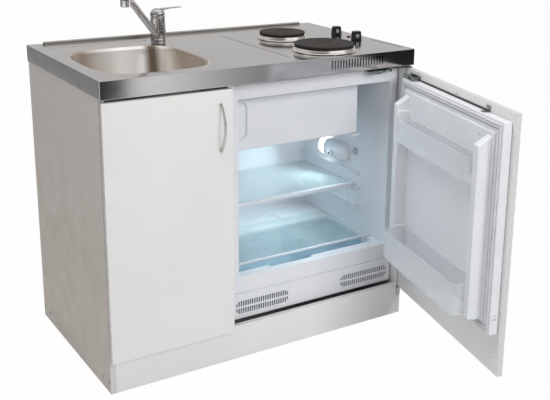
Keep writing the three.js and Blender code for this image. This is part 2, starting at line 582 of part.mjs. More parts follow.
// ---------------------------------------------------------------- refrigerator cabinet
const LEDGE = 6;
const LEDGE_Y0 = SHELF_Y0 - 22;
const ledge = (z, y0, y1) => [
  box(CAV_X0 - 1, CAV_X0 + LEDGE, y0, y1, z - 6, z),
  box(CAV_X1 - LEDGE, CAV_X1 + 1, y0, y1, z - 6, z)];
const zShelfSeat = SHELF_Z - GLASS_T - SEAT;
const DIP = 7;                 // pull dip's depth
const DIP_X0 = WELL_X0 + 106;
const DIP_X1 = DIP_X0 + 156;
let fridge = join(
  box(FR_X0, FR_X1, FR_Y0, FR_Y1, FR_Z0, FR_Z1),
  box(WELL_X0 - WELL_WALL, WELL_X1 + WELL_WALL, WELL_Y0 - WELL_WALL, WELL_Y1 + WELL_WALL,
    WELL_Z - WELL_WALL, FR_Z0 + 5));
fridge = cut(fridge, box(CAV_X0, CAV_X1, FR_Y0 - 5, CAV_Y1, CAV_Z0, CAV_Z1),
  box(WELL_X0, WELL_X1, WELL_Y0, WELL_Y1, WELL_Z, CAV_Z0 + 5),
  // pull dip in the sill in front of the crisper
  prism([[DIP_X0, CAV_Z0 + 5], [DIP_X0 + 14, CAV_Z0 - DIP], [DIP_X1 - 14, CAV_Z0 - DIP], [DIP_X1, CAV_Z0 + 5]],
    'y', WELL_Y0 - 12, WELL_Y0 + 5));
fridge = join(fridge, ...ledge(zShelfSeat, LEDGE_Y0, CAV_Y1 + 1), ...ledge(zShelfSeat - 62, LEDGE_Y0, CAV_Y1 + 1),
  ...ledge(zShelfSeat + 48, LEDGE_Y0, CAV_Y1 + 1));
const SWITCH_W = 16;
const SWITCH_H = 20;
const SWITCH_OUT = 7;
const SWITCH_DEEP = 16;
fridge = cut(fridge, box(CAV_X1 - 5, CAV_X1 + SWITCH_DEEP, SWITCH_Y - SWITCH_W / 2 - 0.5,
  SWITCH_Y + SWITCH_W / 2 + 0.5, SWITCH_Z - SWITCH_H / 2 - 0.5, SWITCH_Z + SWITCH_H / 2 + 0.5));
put('fridge_cabinet', fridge, plastic);

// ventilated front under the cabinet
const GRILLE_N = 24;
const GRILLE_PITCH = 7.6;
const GRILLE_SLOT = 4.4;
const frMid = (FR_X0 + FR_X1) / 2;
const grilleW = (GRILLE_N - 1) * GRILLE_PITCH;
const GRILLE_INSET = 18;       // first slot from the panel's end
let grille = box(FR_X0, FR_X1, FR_Y0, FR_Y0 + GRILLE_T, GRILLE_Z0, FR_Z0 - SEAT);
for (const start of [FR_X0 + GRILLE_INSET, FR_X1 - GRILLE_INSET - grilleW]) {
  for (let i = 0; i < GRILLE_N; i += 1) {
    const x = start + i * GRILLE_PITCH;
    for (const [z0, z1] of [[GRILLE_Z0 + 15, GRILLE_Z0 + 33], [GRILLE_Z0 + 38, GRILLE_Z0 + 56]]) {
      grille = cut(grille, box(x - GRILLE_SLOT / 2, x + GRILLE_SLOT / 2, FR_Y0 - 5, FR_Y0 + GRILLE_T + 5,
        z0, z1));
    }
  }
}
put('fridge_grille', grille, plastic);

// base frame on four feet, open at the back over the compressor
const BASE_Y0 = FR_Y0 + GRILLE_T + SEAT;
const BASE_Y1 = FR_Y1 - 6;
const FOOT_R = 16;
const foot = (x, y) => upright(FOOT_R, x, y, 0, BASE_Z + 1, 20);
put('fridge_base', join(
  box(FR_X0, FR_X1, BASE_Y0, BASE_Y1, BASE_Z, BASE_Z + BASE_SHEET),
  box(FR_X0, FR_X0 + BASE_SHEET, BASE_Y0, BASE_Y1, BASE_Z, FR_Z0 - SEAT),
  box(FR_X1 - BASE_SHEET, FR_X1, BASE_Y0, BASE_Y1, BASE_Z, FR_Z0 - SEAT),
  foot(FR_X0 + 30, BASE_Y0 + 30), foot(FR_X1 - 30, BASE_Y0 + 30),
  foot(FR_X0 + 30, BASE_Y1 - 30), foot(FR_X1 - 30, BASE_Y1 - 30)), blackSteel);
const COMP_X = FR_X1 - 146;
const COMP_Y = WELL_Y1 + WELL_WALL + 85;
const COMP_R = 68;
const COMP_H = 138;
const zComp = BASE_Z + BASE_SHEET + SEAT;
put('compressor', join(
  turned([[0, zComp + 8], [COMP_R - 12, zComp + 8], [COMP_R, zComp + COMP_H - 104], [COMP_R, zComp + COMP_H - 46],
    [COMP_R - 14, zComp + COMP_H - 14], [COMP_R - 40, zComp + COMP_H - 2], [0, zComp + COMP_H]], COMP_X, COMP_Y, 28),
  box(COMP_X - 88, COMP_X + 88, COMP_Y - 50, COMP_Y + 50, zComp, zComp + 10)), black);

// wire condenser on the cabinet's back
const COND_Y0 = FR_Y1 + SEAT;
const COND_X0 = FR_X0 + 40;
const COND_X1 = FR_X1 - 40;
const COND_Z0 = FR_Z0 + 30;
const COND_Z1 = FR_Z1 - 60;
const WIRE = 3;
let condenser = join(
  box(COND_X0, COND_X0 + 8, COND_Y0, COND_Y0 + 10, COND_Z0, COND_Z1),
  box(COND_X1 - 8, COND_X1, COND_Y0, COND_Y0 + 10, COND_Z0, COND_Z1));
const COND_ROWS = 9;
for (let i = 0; i < COND_ROWS; i += 1) {
  const z = COND_Z0 + 20 + (i * (COND_Z1 - COND_Z0 - 40)) / (COND_ROWS - 1);
  condenser = join(condenser, box(COND_X0, COND_X1, COND_Y0 + 4, COND_Y0 + 10, z - WIRE, z + WIRE));
}
put('condenser', condenser, blackSteel);

// ---------------------------------------------------------------- refrigerator inside
const FREEZER_WALL = 4;
const FZ_Y0 = FLAP_Y + FLAP_T + 4;
put('freezer_box', cut(
  box(CAV_X0 + SEAT, FLAP_X1, FZ_Y0, CAV_Y1 - SEAT, FLAP_Z0, CAV_Z1 - SEAT),
  box(CAV_X0 + SEAT + FREEZER_WALL, FLAP_X1 - FREEZER_WALL, FZ_Y0 - 5, CAV_Y1 - 20,
    FLAP_Z0 + FREEZER_WALL, CAV_Z1 - 14)), plastic);
const FLAP_PIVOT_X = FLAP_X1 - 6;
const FLAP_PIVOT_Y = FLAP_Y + FLAP_T / 2;
const PIN_R = 2.5;
const FLAP_X0 = CAV_X0 + 3;
const GRIP_DEPTH = 8;
put('freezer_flap', join(cut(
  box(FLAP_X0, FLAP_X1, FLAP_Y, FLAP_Y + FLAP_T, FLAP_Z0 + FIT, FLAP_Z1),
  prism([[FLAP_X0 + 4, FLAP_Z0 + 40], [FLAP_X0 + 18, FLAP_Z0 + 48], [FLAP_X0 + 18, FLAP_Z1 - 20],
    [FLAP_X0 + 4, FLAP_Z1 - 12]], 'y', FLAP_Y - 5, FLAP_Y + GRIP_DEPTH)),
bar([FLAP_PIVOT_X, FLAP_PIVOT_Y, FLAP_Z0 - 7], [FLAP_PIVOT_X, FLAP_PIVOT_Y, FLAP_Z0 + 5], PIN_R, 12)),
plastic);
put('flap_bracket', cut(
  join(box(FLAP_X1 - 18, FLAP_X1 + 8, FLAP_Y - 2, FZ_Y0 + 14, FLAP_Z0 - 9, FLAP_Z0 - 1),
    box(FLAP_X1 - 18, FLAP_X1 + 8, FZ_Y0 + 2, FZ_Y0 + 14, FLAP_Z0 - 9, FLAP_Z0 - SEAT)),
  upright(PIN_R + 0.4, FLAP_PIVOT_X, FLAP_PIVOT_Y, FLAP_Z0 - 20, FLAP_Z0 + 5, 12)), plastic);

put('glass_shelf', box(CAV_X0 + 1.5, CAV_X1 - 1.5, SHELF_Y0 + 4, CAV_Y1 - 8, SHELF_Z - GLASS_T, SHELF_Z), clear);
put('shelf_trim', cut(box(CAV_X0 + 1.5, CAV_X1 - 1.5, SHELF_Y0, SHELF_Y0 + 16, SHELF_Z - GLASS_T - 5, SHELF_Z + 3),
  box(CAV_X0, CAV_X1, SHELF_Y0 + 4 - SEAT, SHELF_Y0 + 30, SHELF_Z - GLASS_T - SEAT, SHELF_Z + SEAT),
  box(CAV_X0, CAV_X0 + LEDGE + 1.5, SHELF_Y0 - 1, SHELF_Y0 + 30, SHELF_Z - 30, SHELF_Z - 2),
  box(CAV_X1 - LEDGE - 1.5, CAV_X1, SHELF_Y0 - 1, SHELF_Y0 + 30, SHELF_Z - 30, SHELF_Z - 2)), plastic);
put('crisper_cover', box(CAV_X0 + 2, CAV_X1 - 2, COVER_Y0, WELL_Y1 + 60, CAV_Z0 + SEAT, CAV_Z0 + SEAT + GLASS_T), clear);
const CRISPER_Y0 = COVER_Y0 + 7;
const CR_WALL = 2.5;
const crX0 = WELL_X0 + 6;
const crX1 = WELL_X1 - 6;
const crY1 = WELL_Y1 - 8;
const crZ0 = WELL_Z + SEAT;
const crZ1 = CAV_Z0 - 3;
const DIVIDER_X = WELL_X0 + 307;
put('crisper', join(cut(
  box(crX0, crX1, CRISPER_Y0, crY1, crZ0, crZ1),
  box(crX0 + CR_WALL, DIVIDER_X - CR_WALL / 2, CRISPER_Y0 + CR_WALL, crY1 - CR_WALL, crZ0 + CR_WALL, crZ1 + 5),
  box(DIVIDER_X + CR_WALL / 2, crX1 - CR_WALL, CRISPER_Y0 + CR_WALL, crY1 - CR_WALL, crZ0 + CR_WALL, crZ1 + 5)),
box(DIVIDER_X - 14, DIVIDER_X + 14, CRISPER_Y0 + 70, CRISPER_Y0 + 74, crZ0 + 20, crZ1 - 1)), clear);

// lamp and thermostat housing on the right wall
const lbZ0 = LAMP_BOX_Z - LAMP_BOX_H / 2;
const lbZ1 = LAMP_BOX_Z + LAMP_BOX_H / 2;
const LENS_SPLIT = LAMP_BOX_Y0 + 105;
const lbX0 = CAV_X1 - LAMP_BOX_T;
const domeOutline = (y0, y1, c0, c1) => [[lbX0, y0 + c0], [lbX0 + c0 / 2, y0], [CAV_X1 - SEAT, y0],
  [CAV_X1 - SEAT, y1], [lbX0 + c1 / 2, y1], [lbX0, y1 - c1]];
const DIAL_Y = LAMP_BOX_Y0 + 60;
const DIAL_Z = LAMP_BOX_Z - 8;
put('lamp_housing', cut(
  prism(domeOutline(LAMP_BOX_Y0, LENS_SPLIT - SEAT, 22, 0.5), 'z', lbZ0, lbZ1),
  bar([lbX0 - 5, DIAL_Y, DIAL_Z], [lbX0 + 14, DIAL_Y, DIAL_Z], SPINDLE_R + 0.4)), grey);
put('lamp_lens', prism(domeOutline(LENS_SPLIT, LAMP_BOX_Y1, 0.5, 20), 'z', lbZ0 + 2, lbZ1 - 2), lamp);
put('thermostat_dial', join(
  bar([lbX0 - 8, DIAL_Y, DIAL_Z], [lbX0 - 0.6, DIAL_Y, DIAL_Z], DIAL_R, 24),
  bar([lbX0 - 4, DIAL_Y, DIAL_Z], [lbX0 + 12, DIAL_Y, DIAL_Z], SPINDLE_R, 12)), grey);
put('door_switch', box(CAV_X1 - SWITCH_OUT, CAV_X1 + SWITCH_DEEP - 7, SWITCH_Y - SWITCH_W / 2,
  SWITCH_Y + SWITCH_W / 2, SWITCH_Z - SWITCH_H / 2, SWITCH_Z + SWITCH_H / 2), grey);

// ---------------------------------------------------------------- refrigerator door
const pivotX = xRight - DOOR_MARGIN - HINGE_EDGE;
const pivotY = yDoorBack - HINGE_FACE;
const door = new THREE.Group();      // turned about the hinge line
door.position.set(pivotX, pivotY, 0);
door.rotation.z = DOOR_OPEN * RAD;
unit.add(door);
const leaf = new THREE.Group();      // closed drawing, moved back to the hinge
leaf.position.set(-pivotX, -pivotY, 0);
door.add(leaf);

const PIVOT_R = 3;
const PIVOT_DEEP = 14;
const xPanel0 = xDoorR + DOOR_GAP;
put('furniture_panel', cut(
  box(xPanel0, xRight - DOOR_MARGIN, yDoorFront, yDoorBack, DOOR_BOTTOM, DOOR_TOP),
  upright(PIVOT_R + 0.4, pivotX, pivotY, DOOR_TOP - PIVOT_DEEP - 1, DOOR_TOP + 5, 16),
  upright(PIVOT_R + 0.4, pivotX, pivotY, DOOR_BOTTOM - 5, DOOR_BOTTOM + PIVOT_DEEP + 1, 16)), white, leaf);

const fdY0 = yDoorBack + SEAT;
const fdY1 = fdY0 + FD_T;
const ribOutline = [[fdY1 - 1, RIB_Z0 - 4], [RIB_Y, RIB_Z0], [RIB_Y, RIB_Z1 - 27], [fdY1 - 1, RIB_Z1]];
const RIB_L = CAV_X0 + 17;           // free-side rib clears the cabinet as it swings
const RIB_R = CAV_X1 - 19;
put('fridge_door', join(
  box(FR_X0, FD_X1, fdY0, fdY1, FD_Z0, FD_Z1),
  box(RIB_L - 10, RIB_R + 10, fdY1 - 1, fdY1 + 5, FD_Z0 + GASKET_W + 12, FD_Z1 - GASKET_W - 20),
  prism(ribOutline, 'x', RIB_L, RIB_L + RIB_W),
  prism(ribOutline, 'x', RIB_R - RIB_W, RIB_R)), plastic, leaf);

const gX0 = FR_X0 + 6;
const gX1 = FD_X1 - 6;
const gZ0 = FD_Z0 + 4;
const gZ1 = FD_Z1 - 6;
const gasketY = fdY1 + SEAT;
put('door_gasket', cut(
  box(gX0, gX1, gasketY, gasketY + GASKET_T - SEAT, gZ0, gZ1),
  box(gX0 + GASKET_W, gX1 - GASKET_W, gasketY - 5, gasketY + 10, gZ0 + GASKET_W, gZ1 - GASKET_W)),
rubber, leaf);

const binX0 = RIB_L + RIB_W + SEAT;
const binX1 = RIB_R - RIB_W - SEAT;
const binY0 = fdY1 + 5 + SEAT;
const bin = (y1, z0, z1) => cut(
  prism([[binX0, binY0], [binX1, binY0], [binX1, y1 - 16], [binX1 - 16, y1], [binX0 + 16, y1],
    [binX0, y1 - 16]], 'z', z0, z1),
  prism([[binX0 + BIN_WALL, binY0 + BIN_WALL], [binX1 - BIN_WALL, binY0 + BIN_WALL],
    [binX1 - BIN_WALL, y1 - 16], [binX1 - 16, y1 - BIN_WALL], [binX0 + 16, y1 - BIN_WALL],
    [binX0 + BIN_WALL, y1 - 16]], 'z', z0 + BIN_WALL, z1 + 5));
put('bin_upper', bin(BIN_UP_Y, BIN_UP_Z0, BIN_UP_Z1), clear, leaf);
put('bin_lower', bin(BIN_LOW_Y, BIN_LOW_Z0, BIN_LOW_Z1), clear, leaf);

// steel angle that hangs the furniture panel on the refrigerator's door
const angleX = xPanel0 + 130;
put('panel_bracket', join(
  box(angleX - 9, angleX + 9, yDoorBack + SEAT, yDoorBack + 20, FD_Z1 + SEAT, FD_Z1 + 2),
  box(angleX - 9, angleX + 9, yDoorBack + SEAT, yDoorBack + SEAT + 1.8, FD_Z1 + SEAT, FD_Z1 + 16)),
zinc, leaf);

// pivot plates above and below the panel
const zPlate = DOOR_TOP + FIT;
const PLATE_T = 3;
const yHingeBack = FR_Y0 + 40;
put('fridge_hinge_upper', join(
  prism([[pivotX - 60, yHingeBack], [pivotX - 60, pivotY + 6], [pivotX - 14, pivotY - 5],
    [pivotX + 5, pivotY - 5], [pivotX + 5, yBoards - FIT], [xPanelR - BOARD - FIT, yBoards - FIT],
    [xPanelR - BOARD - 8, yBoards + 4], [xPanelR - BOARD - 8, yHingeBack]], 'z', zPlate, zPlate + PLATE_T),
  box(pivotX - 58, xPanelR - BOARD - 8, FR_Y0 + 6, yHingeBack - 2, FR_Z1 + SEAT, zPlate + 1),
  upright(PIVOT_R, pivotX, pivotY, DOOR_TOP - PIVOT_DEEP, zPlate + 1, 16)), zinc);
put('fridge_hinge_lower', join(
  box(xPanelR - BOARD + 1, xPanelR - 1, pivotY - 5, yBoards - SEAT, DOOR_BOTTOM - FIT - PLATE_T, DOOR_BOTTOM - FIT),
  box(xPanelR - BOARD + 1, xPanelR - 1, yBoards - SEAT - 2, yBoards - SEAT, DOOR_BOTTOM - 36, DOOR_BOTTOM - FIT),
  upright(PIVOT_R, pivotX, pivotY, DOOR_BOTTOM - FIT - 2, DOOR_BOTTOM + PIVOT_DEEP, 16)), zinc);

export default unit;
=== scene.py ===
# %% [markdown]
# # A kitchenette dressed in Blender
# The solids of a one metre kitchenette come from a CAD model: a steel top with a
# bowl, a tap and two hotplates, a sink cupboard, and a small refrigerator that
# stands open. This lesson gives them their looks. Each visible piece is modelled
# over its solid with Blender's own tools, and gets a procedural finish.
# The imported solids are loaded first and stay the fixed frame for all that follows.

# %% The fixed frame
import math
import bpy
import bmesh
from mathutils import Matrix, Vector


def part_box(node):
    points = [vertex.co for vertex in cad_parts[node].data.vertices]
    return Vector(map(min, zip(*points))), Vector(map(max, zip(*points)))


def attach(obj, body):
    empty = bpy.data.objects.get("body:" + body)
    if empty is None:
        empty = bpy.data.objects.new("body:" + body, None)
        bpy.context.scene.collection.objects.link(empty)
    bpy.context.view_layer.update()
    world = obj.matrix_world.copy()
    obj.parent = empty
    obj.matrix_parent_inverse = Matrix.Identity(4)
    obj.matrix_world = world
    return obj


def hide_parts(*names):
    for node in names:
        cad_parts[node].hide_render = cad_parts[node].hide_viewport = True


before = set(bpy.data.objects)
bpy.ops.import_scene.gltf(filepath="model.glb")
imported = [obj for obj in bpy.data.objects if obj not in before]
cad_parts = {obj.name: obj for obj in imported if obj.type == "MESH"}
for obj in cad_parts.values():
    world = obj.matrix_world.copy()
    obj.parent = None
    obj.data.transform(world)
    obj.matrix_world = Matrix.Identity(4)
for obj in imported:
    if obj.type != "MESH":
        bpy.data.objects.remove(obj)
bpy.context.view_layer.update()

# %% [markdown]
# ## Small tools
# The CAD numbers are millimetres, and Blender works in metres. Every helper takes
# millimetres in this unit's own frame: X to the right, Y to the back, Z up, and
# zero under the middle of the plinth. An operator acts on whatever is selected,
# so each helper starts from nothing selected and leaves one object behind.

# %% Selecting and placing
MM = 0.001
ANGLE_SMOOTH = math.radians(35)


def nothing_selected():
    if bpy.context.object and bpy.context.object.mode != "OBJECT":
        bpy.ops.object.mode_set(mode="OBJECT")
    bpy.ops.object.select_all(action="DESELECT")


def take(piece):
    nothing_selected()
    piece.select_set(True)
    bpy.context.view_layer.objects.active = piece


def settle(name):
    """Names the newest object and puts its place into its mesh."""
    piece = bpy.context.object
    piece.name = piece.data.name = name.replace(" ", "_")
    bpy.ops.object.transform_apply(location=True, rotation=True, scale=True)
    return piece


def block(name, *spans):
    """A box between two places on X, on Y and on Z."""
    nothing_selected()
    bpy.ops.mesh.primitive_cube_add(size=1, location=[sum(span) / 2 * MM for span in spans],
                                    scale=[(span[1] - span[0]) * MM for span in spans])
    return settle(name)


def rod(name, start, end, radius, sides=24):
    """A round bar between two points."""
    a, b = Vector(start) * MM, Vector(end) * MM
    nothing_selected()
    bpy.ops.mesh.primitive_cylinder_add(
        vertices=sides, radius=radius * MM, depth=(b - a).length, location=(a + b) / 2,
        rotation=(b - a).to_track_quat("Z", "Y").to_euler())
    return settle(name)


def edit(piece, kind="FACE"):
    take(piece)
    bpy.ops.object.mode_set(mode="EDIT")
    bpy.ops.mesh.select_mode(type=kind)
    bpy.ops.mesh.select_all(action="DESELECT")


def pick(piece, test, kind="FACE"):
    """Selects what passes the test: (middle, normal) of a face, (middle, direction)
    of an edge, (place, None) of a vertex, all in millimetres."""
    edit(piece, kind)
    mesh = bmesh.from_edit_mesh(piece.data)
    if kind == "FACE":
        for face in mesh.faces:
            face.select_set(bool(test(face.calc_center_median() / MM, face.normal)))
    elif kind == "EDGE":
        for edge in mesh.edges:
            a, b = edge.verts[0].co, edge.verts[1].co
            edge.select_set(bool(test((a + b) / 2 / MM, (b - a).normalized())))
    else:
        for vert in mesh.verts:
            vert.select_set(bool(test(vert.co / MM, None)))
    mesh.select_flush_mode()
    bmesh.update_edit_mesh(piece.data)


def pick_all(piece, kind="FACE"):
    edit(piece, kind)
    bpy.ops.mesh.select_all(action="SELECT")


def leave_edit():
    bpy.ops.object.mode_set(mode="OBJECT")


print("tools ready")

# %% [markdown]
# Three more tools finish a piece. A Bevel modifier breaks the sharp edges, as every
# real edge is broken, and a Weighted Normal keeps the flat faces flat in the light.
# A Boolean modifier cuts openings or welds parts. Round pieces are turned: an
# outline is drawn point by point by extruding one vertex, then spun on its axis.

# %% Bevel, cut, weld and turn
def apply_modifier(piece, kind, **settings):
    take(piece)
    modifier = piece.modifiers.new(kind.title(), kind)
    for key, value in settings.items():
        setattr(modifier, key, value)
    bpy.ops.object.modifier_apply(modifier=modifier.name)


def soften(piece, width=1.0, segments=2, angle=30):
    if width:
        apply_modifier(piece, "BEVEL", width=width * MM, segments=segments, limit_method="ANGLE",
                       angle_limit=math.radians(angle), use_clamp_overlap=True, miter_outer="MITER_ARC")
    take(piece)
    bpy.ops.object.shade_smooth_by_angle(angle=ANGLE_SMOOTH)
    apply_modifier(piece, "WEIGHTED_NORMAL", keep_sharp=True)
    return piece


def cut(piece, *tools):
    for tool in tools:
        apply_modifier(piece, "BOOLEAN", object=tool, operation="DIFFERENCE", solver="EXACT")
        bpy.data.objects.remove(tool)
    return piece


def weld(piece, *others):
    for other in others:
        apply_modifier(piece, "BOOLEAN", object=other, operation="UNION", solver="EXACT")
        bpy.data.objects.remove(other)
    return piece


def gather(name, pieces):
    """Several closed parts kept as one object."""
    take(pieces[0])
    for piece in pieces[1:]:
        piece.select_set(True)
    if len(pieces) > 1:
        bpy.ops.object.join()
    pieces[0].name = pieces[0].data.name = name.replace(" ", "_")
    return pieces[0]


def clean(piece):
    """Merges doubled points and turns all faces outwards."""
    pick_all(piece, "VERT")
    bpy.ops.mesh.remove_doubles(threshold=1e-5)
    bpy.ops.mesh.normals_make_consistent(inside=False)
    leave_edit()
    return piece


WAYS = {"X": Vector((1, 0, 0)), "-X": Vector((-1, 0, 0)), "Y": Vector((0, 1, 0)),
        "-Y": Vector((0, -1, 0)), "Z": Vector((0, 0, 1)), "-Z": Vector((0, 0, -1))}


def turned(name, outline, at, axis="Z", steps=64):
    """outline: [radius, height] points; the piece grows from its place the axis way."""
    up = WAYS[axis]
    out = WAYS["X"] if abs(up.z) > 0.5 else WAYS["Z"]
    middle = Vector(at)
    places = [(middle + out * r + up * h) * MM for r, h in outline]
    nothing_selected()
    bpy.ops.mesh.primitive_plane_add(size=0.001, location=places[0])
    piece = settle(name)
    pick_all(piece, "VERT")
    bpy.ops.mesh.merge(type="CENTER")
    for a, b in zip(places, places[1:]):
        bpy.ops.mesh.extrude_vertices_move(TRANSFORM_OT_translate={"value": b - a})
    bpy.ops.mesh.select_all(action="SELECT")
    bpy.ops.mesh.spin(steps=steps, angle=math.tau, center=middle * MM, axis=up)
    leave_edit()
    return clean(piece)


def tube(name, points, radius, sides=3, per_span=8, flat=0.0):
    """A bar along a smooth path; flat makes it a strip that much wider along X."""
    nothing_selected()
    bpy.ops.curve.primitive_bezier_curve_add(radius=0.01, location=(0, 0, 0))
    line = bpy.context.object
    spline = line.data.splines[0]
    spline.bezier_points.add(len(points) - 2)
    for knot, place in zip(spline.bezier_points, points):
        knot.co = Vector(place) * MM
        knot.handle_left_type = knot.handle_right_type = "AUTO"
    line.data.resolution_u = per_span
    line.data.bevel_depth = radius * MM
    line.data.bevel_resolution = sides
    line.data.extrude = flat * MM
    line.data.use_fill_caps = True
    bpy.ops.object.convert(target="MESH")
    return clean(settle(name))


def round_edges(piece, test, radius, segments=4):
    """Rounds the edges that pass the test, by their middle and direction."""
    pick(piece, test, "EDGE")
    bpy.ops.mesh.bevel(offset=radius * MM, segments=segments, affect="EDGES")
    leave_edit()
    return piece


def rounded(name, x, y, z, radius, segments=4, along=None):
    """A block with all its edges rounded, or only the edges that run one way."""
    way = WAYS.get(along)
    return round_edges(block(name, x, y, z), lambda c, d: way is None or abs(d.dot(way)) > 0.9, radius,
                       segments)


def split(piece, place, normal):
    """Divides the faces of a piece along a plane."""
    pick_all(piece)
    bpy.ops.mesh.bisect(plane_co=[v * MM for v in place], plane_no=normal)
    leave_edit()


def extrude(lift=0):
    """Extrudes what is selected straight up, or down where lift is negative."""
    bpy.ops.mesh.extrude_region_move(TRANSFORM_OT_translate={"value": (0, 0, lift * MM)})


def moved(piece, matrix):
    """Moves a mesh by a matrix in metres and puts the move into the mesh."""
    piece.matrix_world = matrix
    take(piece)
    bpy.ops.object.transform_apply(location=True, rotation=True, scale=True)
    return piece


def fit(piece, body, *nodes):
    """Rides on a body and stands for CAD nodes."""
    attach(piece, body)
    if nodes:
        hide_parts(*nodes)
    print(f"{piece.name}: {len(piece.data.polygons)} faces on {body}")
    return piece


def around(count, radius, middle):
    """Places spread evenly round a circle, as pairs."""
    turns = [i * math.tau / count for i in range(count)]
    return [(middle[0] + radius * math.cos(a), middle[1] + radius * math.sin(a)) for a in turns]


print("modelling tools ready")

# %% [markdown]
# Materials, floor and world are all trees of nodes. One helper adds a node with its
# values and one joins two sockets, so that each tree below reads as a short list.
# A ramp turns a number into colours, and a step rises from zero to one.

# %% Nodes
def link(tree, a, b):
    tree.links.new(a, b)


def add(tree, kind, **settings):
    """A new node; what isn't one of its properties is the value of a socket."""
    node = tree.nodes.new(kind)
    for key, value in settings.items():
        if hasattr(node, key):
            setattr(node, key, value)
        else:
            node.inputs[key.replace("_", " ")].default_value = value
    return node


def colours_of(sockets):
    """A Mix node has a set of sockets for each kind of value; these are the colours."""
    return [socket for socket in sockets if socket.type == "RGBA"]


def ramp(tree, source, stops):
    """Colours along a value; each stop is its place and its colour."""
    node = add(tree, "ShaderNodeValToRGB")
    link(tree, source, node.inputs[0])
    for _ in stops[2:]:
        node.color_ramp.elements.new(0.5)
    for element, (place, colour) in zip(node.color_ramp.elements, stops):
        element.position = place
        element.color = (*colour, 1)
    return node.outputs[0]


def step(tree, source, low, high, at_low=0.0, at_high=1.0):
    """One value below low, another above high, and a straight rise between them."""
    node = add(tree, "ShaderNodeMapRange", From_Min=low, From_Max=high, To_Min=at_low, To_Max=at_high)
    link(tree, source, node.inputs["Value"])
    return node.outputs[0]


def step_along(tree, axis, low, high, at_low=0.0, at_high=1.0):
    """The same along an axis of the unit, between two places in metres."""
    where = add(tree, "ShaderNodeTexCoord")
    axes = add(tree, "ShaderNodeSeparateXYZ")
    link(tree, where.outputs["Object"], axes.inputs[0])
    return step(tree, axes.outputs[axis], low, high, at_low, at_high)


def blended(tree, factor, first, second):
    """Mixes two colours."""
    node = add(tree, "ShaderNodeMix", data_type="RGBA")
    for socket, source in zip([node.inputs["Factor"], *colours_of(node.inputs)], (factor, first, second)):
        link(tree, source, socket)
    return colours_of(node.outputs)[0]


def mixed(tree, factor, first, second):
    """Mixes two shaders."""
    node = add(tree, "ShaderNodeMixShader")
    for socket, source in zip(node.inputs, (factor, first, second)):
        link(tree, source, socket)
    return node.outputs[0]


def either_ray(tree, *kinds):
    """One for a ray of either kind, and zero for any other."""
    path = add(tree, "ShaderNodeLightPath")
    either = add(tree, "ShaderNodeMath", operation="MAXIMUM")
    for socket, kind in zip(either.inputs, kinds):
        link(tree, path.outputs[kind], socket)
    return either.outputs[0]


print("node tools ready")

# %% [markdown]
# ## Camera, floor and light
# The camera stands to the front left, a little above the worktop, as in a shop
# photograph. Its lens was worked out from the worktop's corners. The last of the
# framing is a small lens shift, kept small so that other views stay in frame too.
# The floor is plain and pale. To the camera and in reflections it reads as white,
# while it still takes the unit's soft shadow.

# %% Camera at the photographed angle
PHOTO_W, PHOTO_H, SENSOR = 550, 400, 36
FOCAL_PX, CENTRE_U, CENTRE_V = 942.4, 314.6, 141.1
LOOK_RIGHT, LOOK_DOWN, ROLL = (math.radians(a) for a in (33.31, 15.60, 0.97))
ahead = Vector((math.sin(LOOK_RIGHT) * math.cos(LOOK_DOWN),
                math.cos(LOOK_RIGHT) * math.cos(LOOK_DOWN), -math.sin(LOOK_DOWN)))
level = ahead.cross(Vector((0, 0, 1))).normalized()
upright = level.cross(ahead)
side = level * math.cos(ROLL) + upright * math.sin(ROLL)
above = upright * math.cos(ROLL) - level * math.sin(ROLL)
nothing_selected()
bpy.ops.object.camera_add(location=(-1.3053, -2.2296, 1.3740))
camera = bpy.context.object
camera.rotation_euler = Matrix((side, above, -ahead)).transposed().to_euler()
camera.data.sensor_width = SENSOR
camera.data.lens = FOCAL_PX / PHOTO_W * SENSOR
camera.data.shift_x = -(CENTRE_U - PHOTO_W / 2) / PHOTO_W
camera.data.shift_y = (CENTRE_V - PHOTO_H / 2) / PHOTO_W
camera.data.clip_end = 60
bpy.context.scene.camera = camera
bpy.context.scene.view_settings.view_transform = "Standard"
print("lens", round(camera.data.lens, 1), "mm")

# %% Floor
nothing_selected()
bpy.ops.mesh.primitive_plane_add(size=30, location=(0, 0, 0))
floor = settle("floor")
floor_paint = bpy.data.materials.new("pale floor")
floor_paint.use_nodes = True
tree = floor_paint.node_tree
floor_shader = tree.nodes["Principled BSDF"]
floor_shader.inputs["Base Color"].default_value = (0.68, 0.68, 0.68, 1)
floor_shader.inputs["Roughness"].default_value = 0.9
white = add(tree, "ShaderNodeEmission")
share = add(tree, "ShaderNodeMath", operation="MULTIPLY")
share.inputs[1].default_value = 0.98
link(tree, either_ray(tree, "Is Camera Ray", "Is Glossy Ray"), share.inputs[0])
link(tree, mixed(tree, share.outputs[0], floor_shader.outputs[0], white.outputs[0]),
     tree.nodes["Material Output"].inputs["Surface"])
floor.data.materials.append(floor_paint)
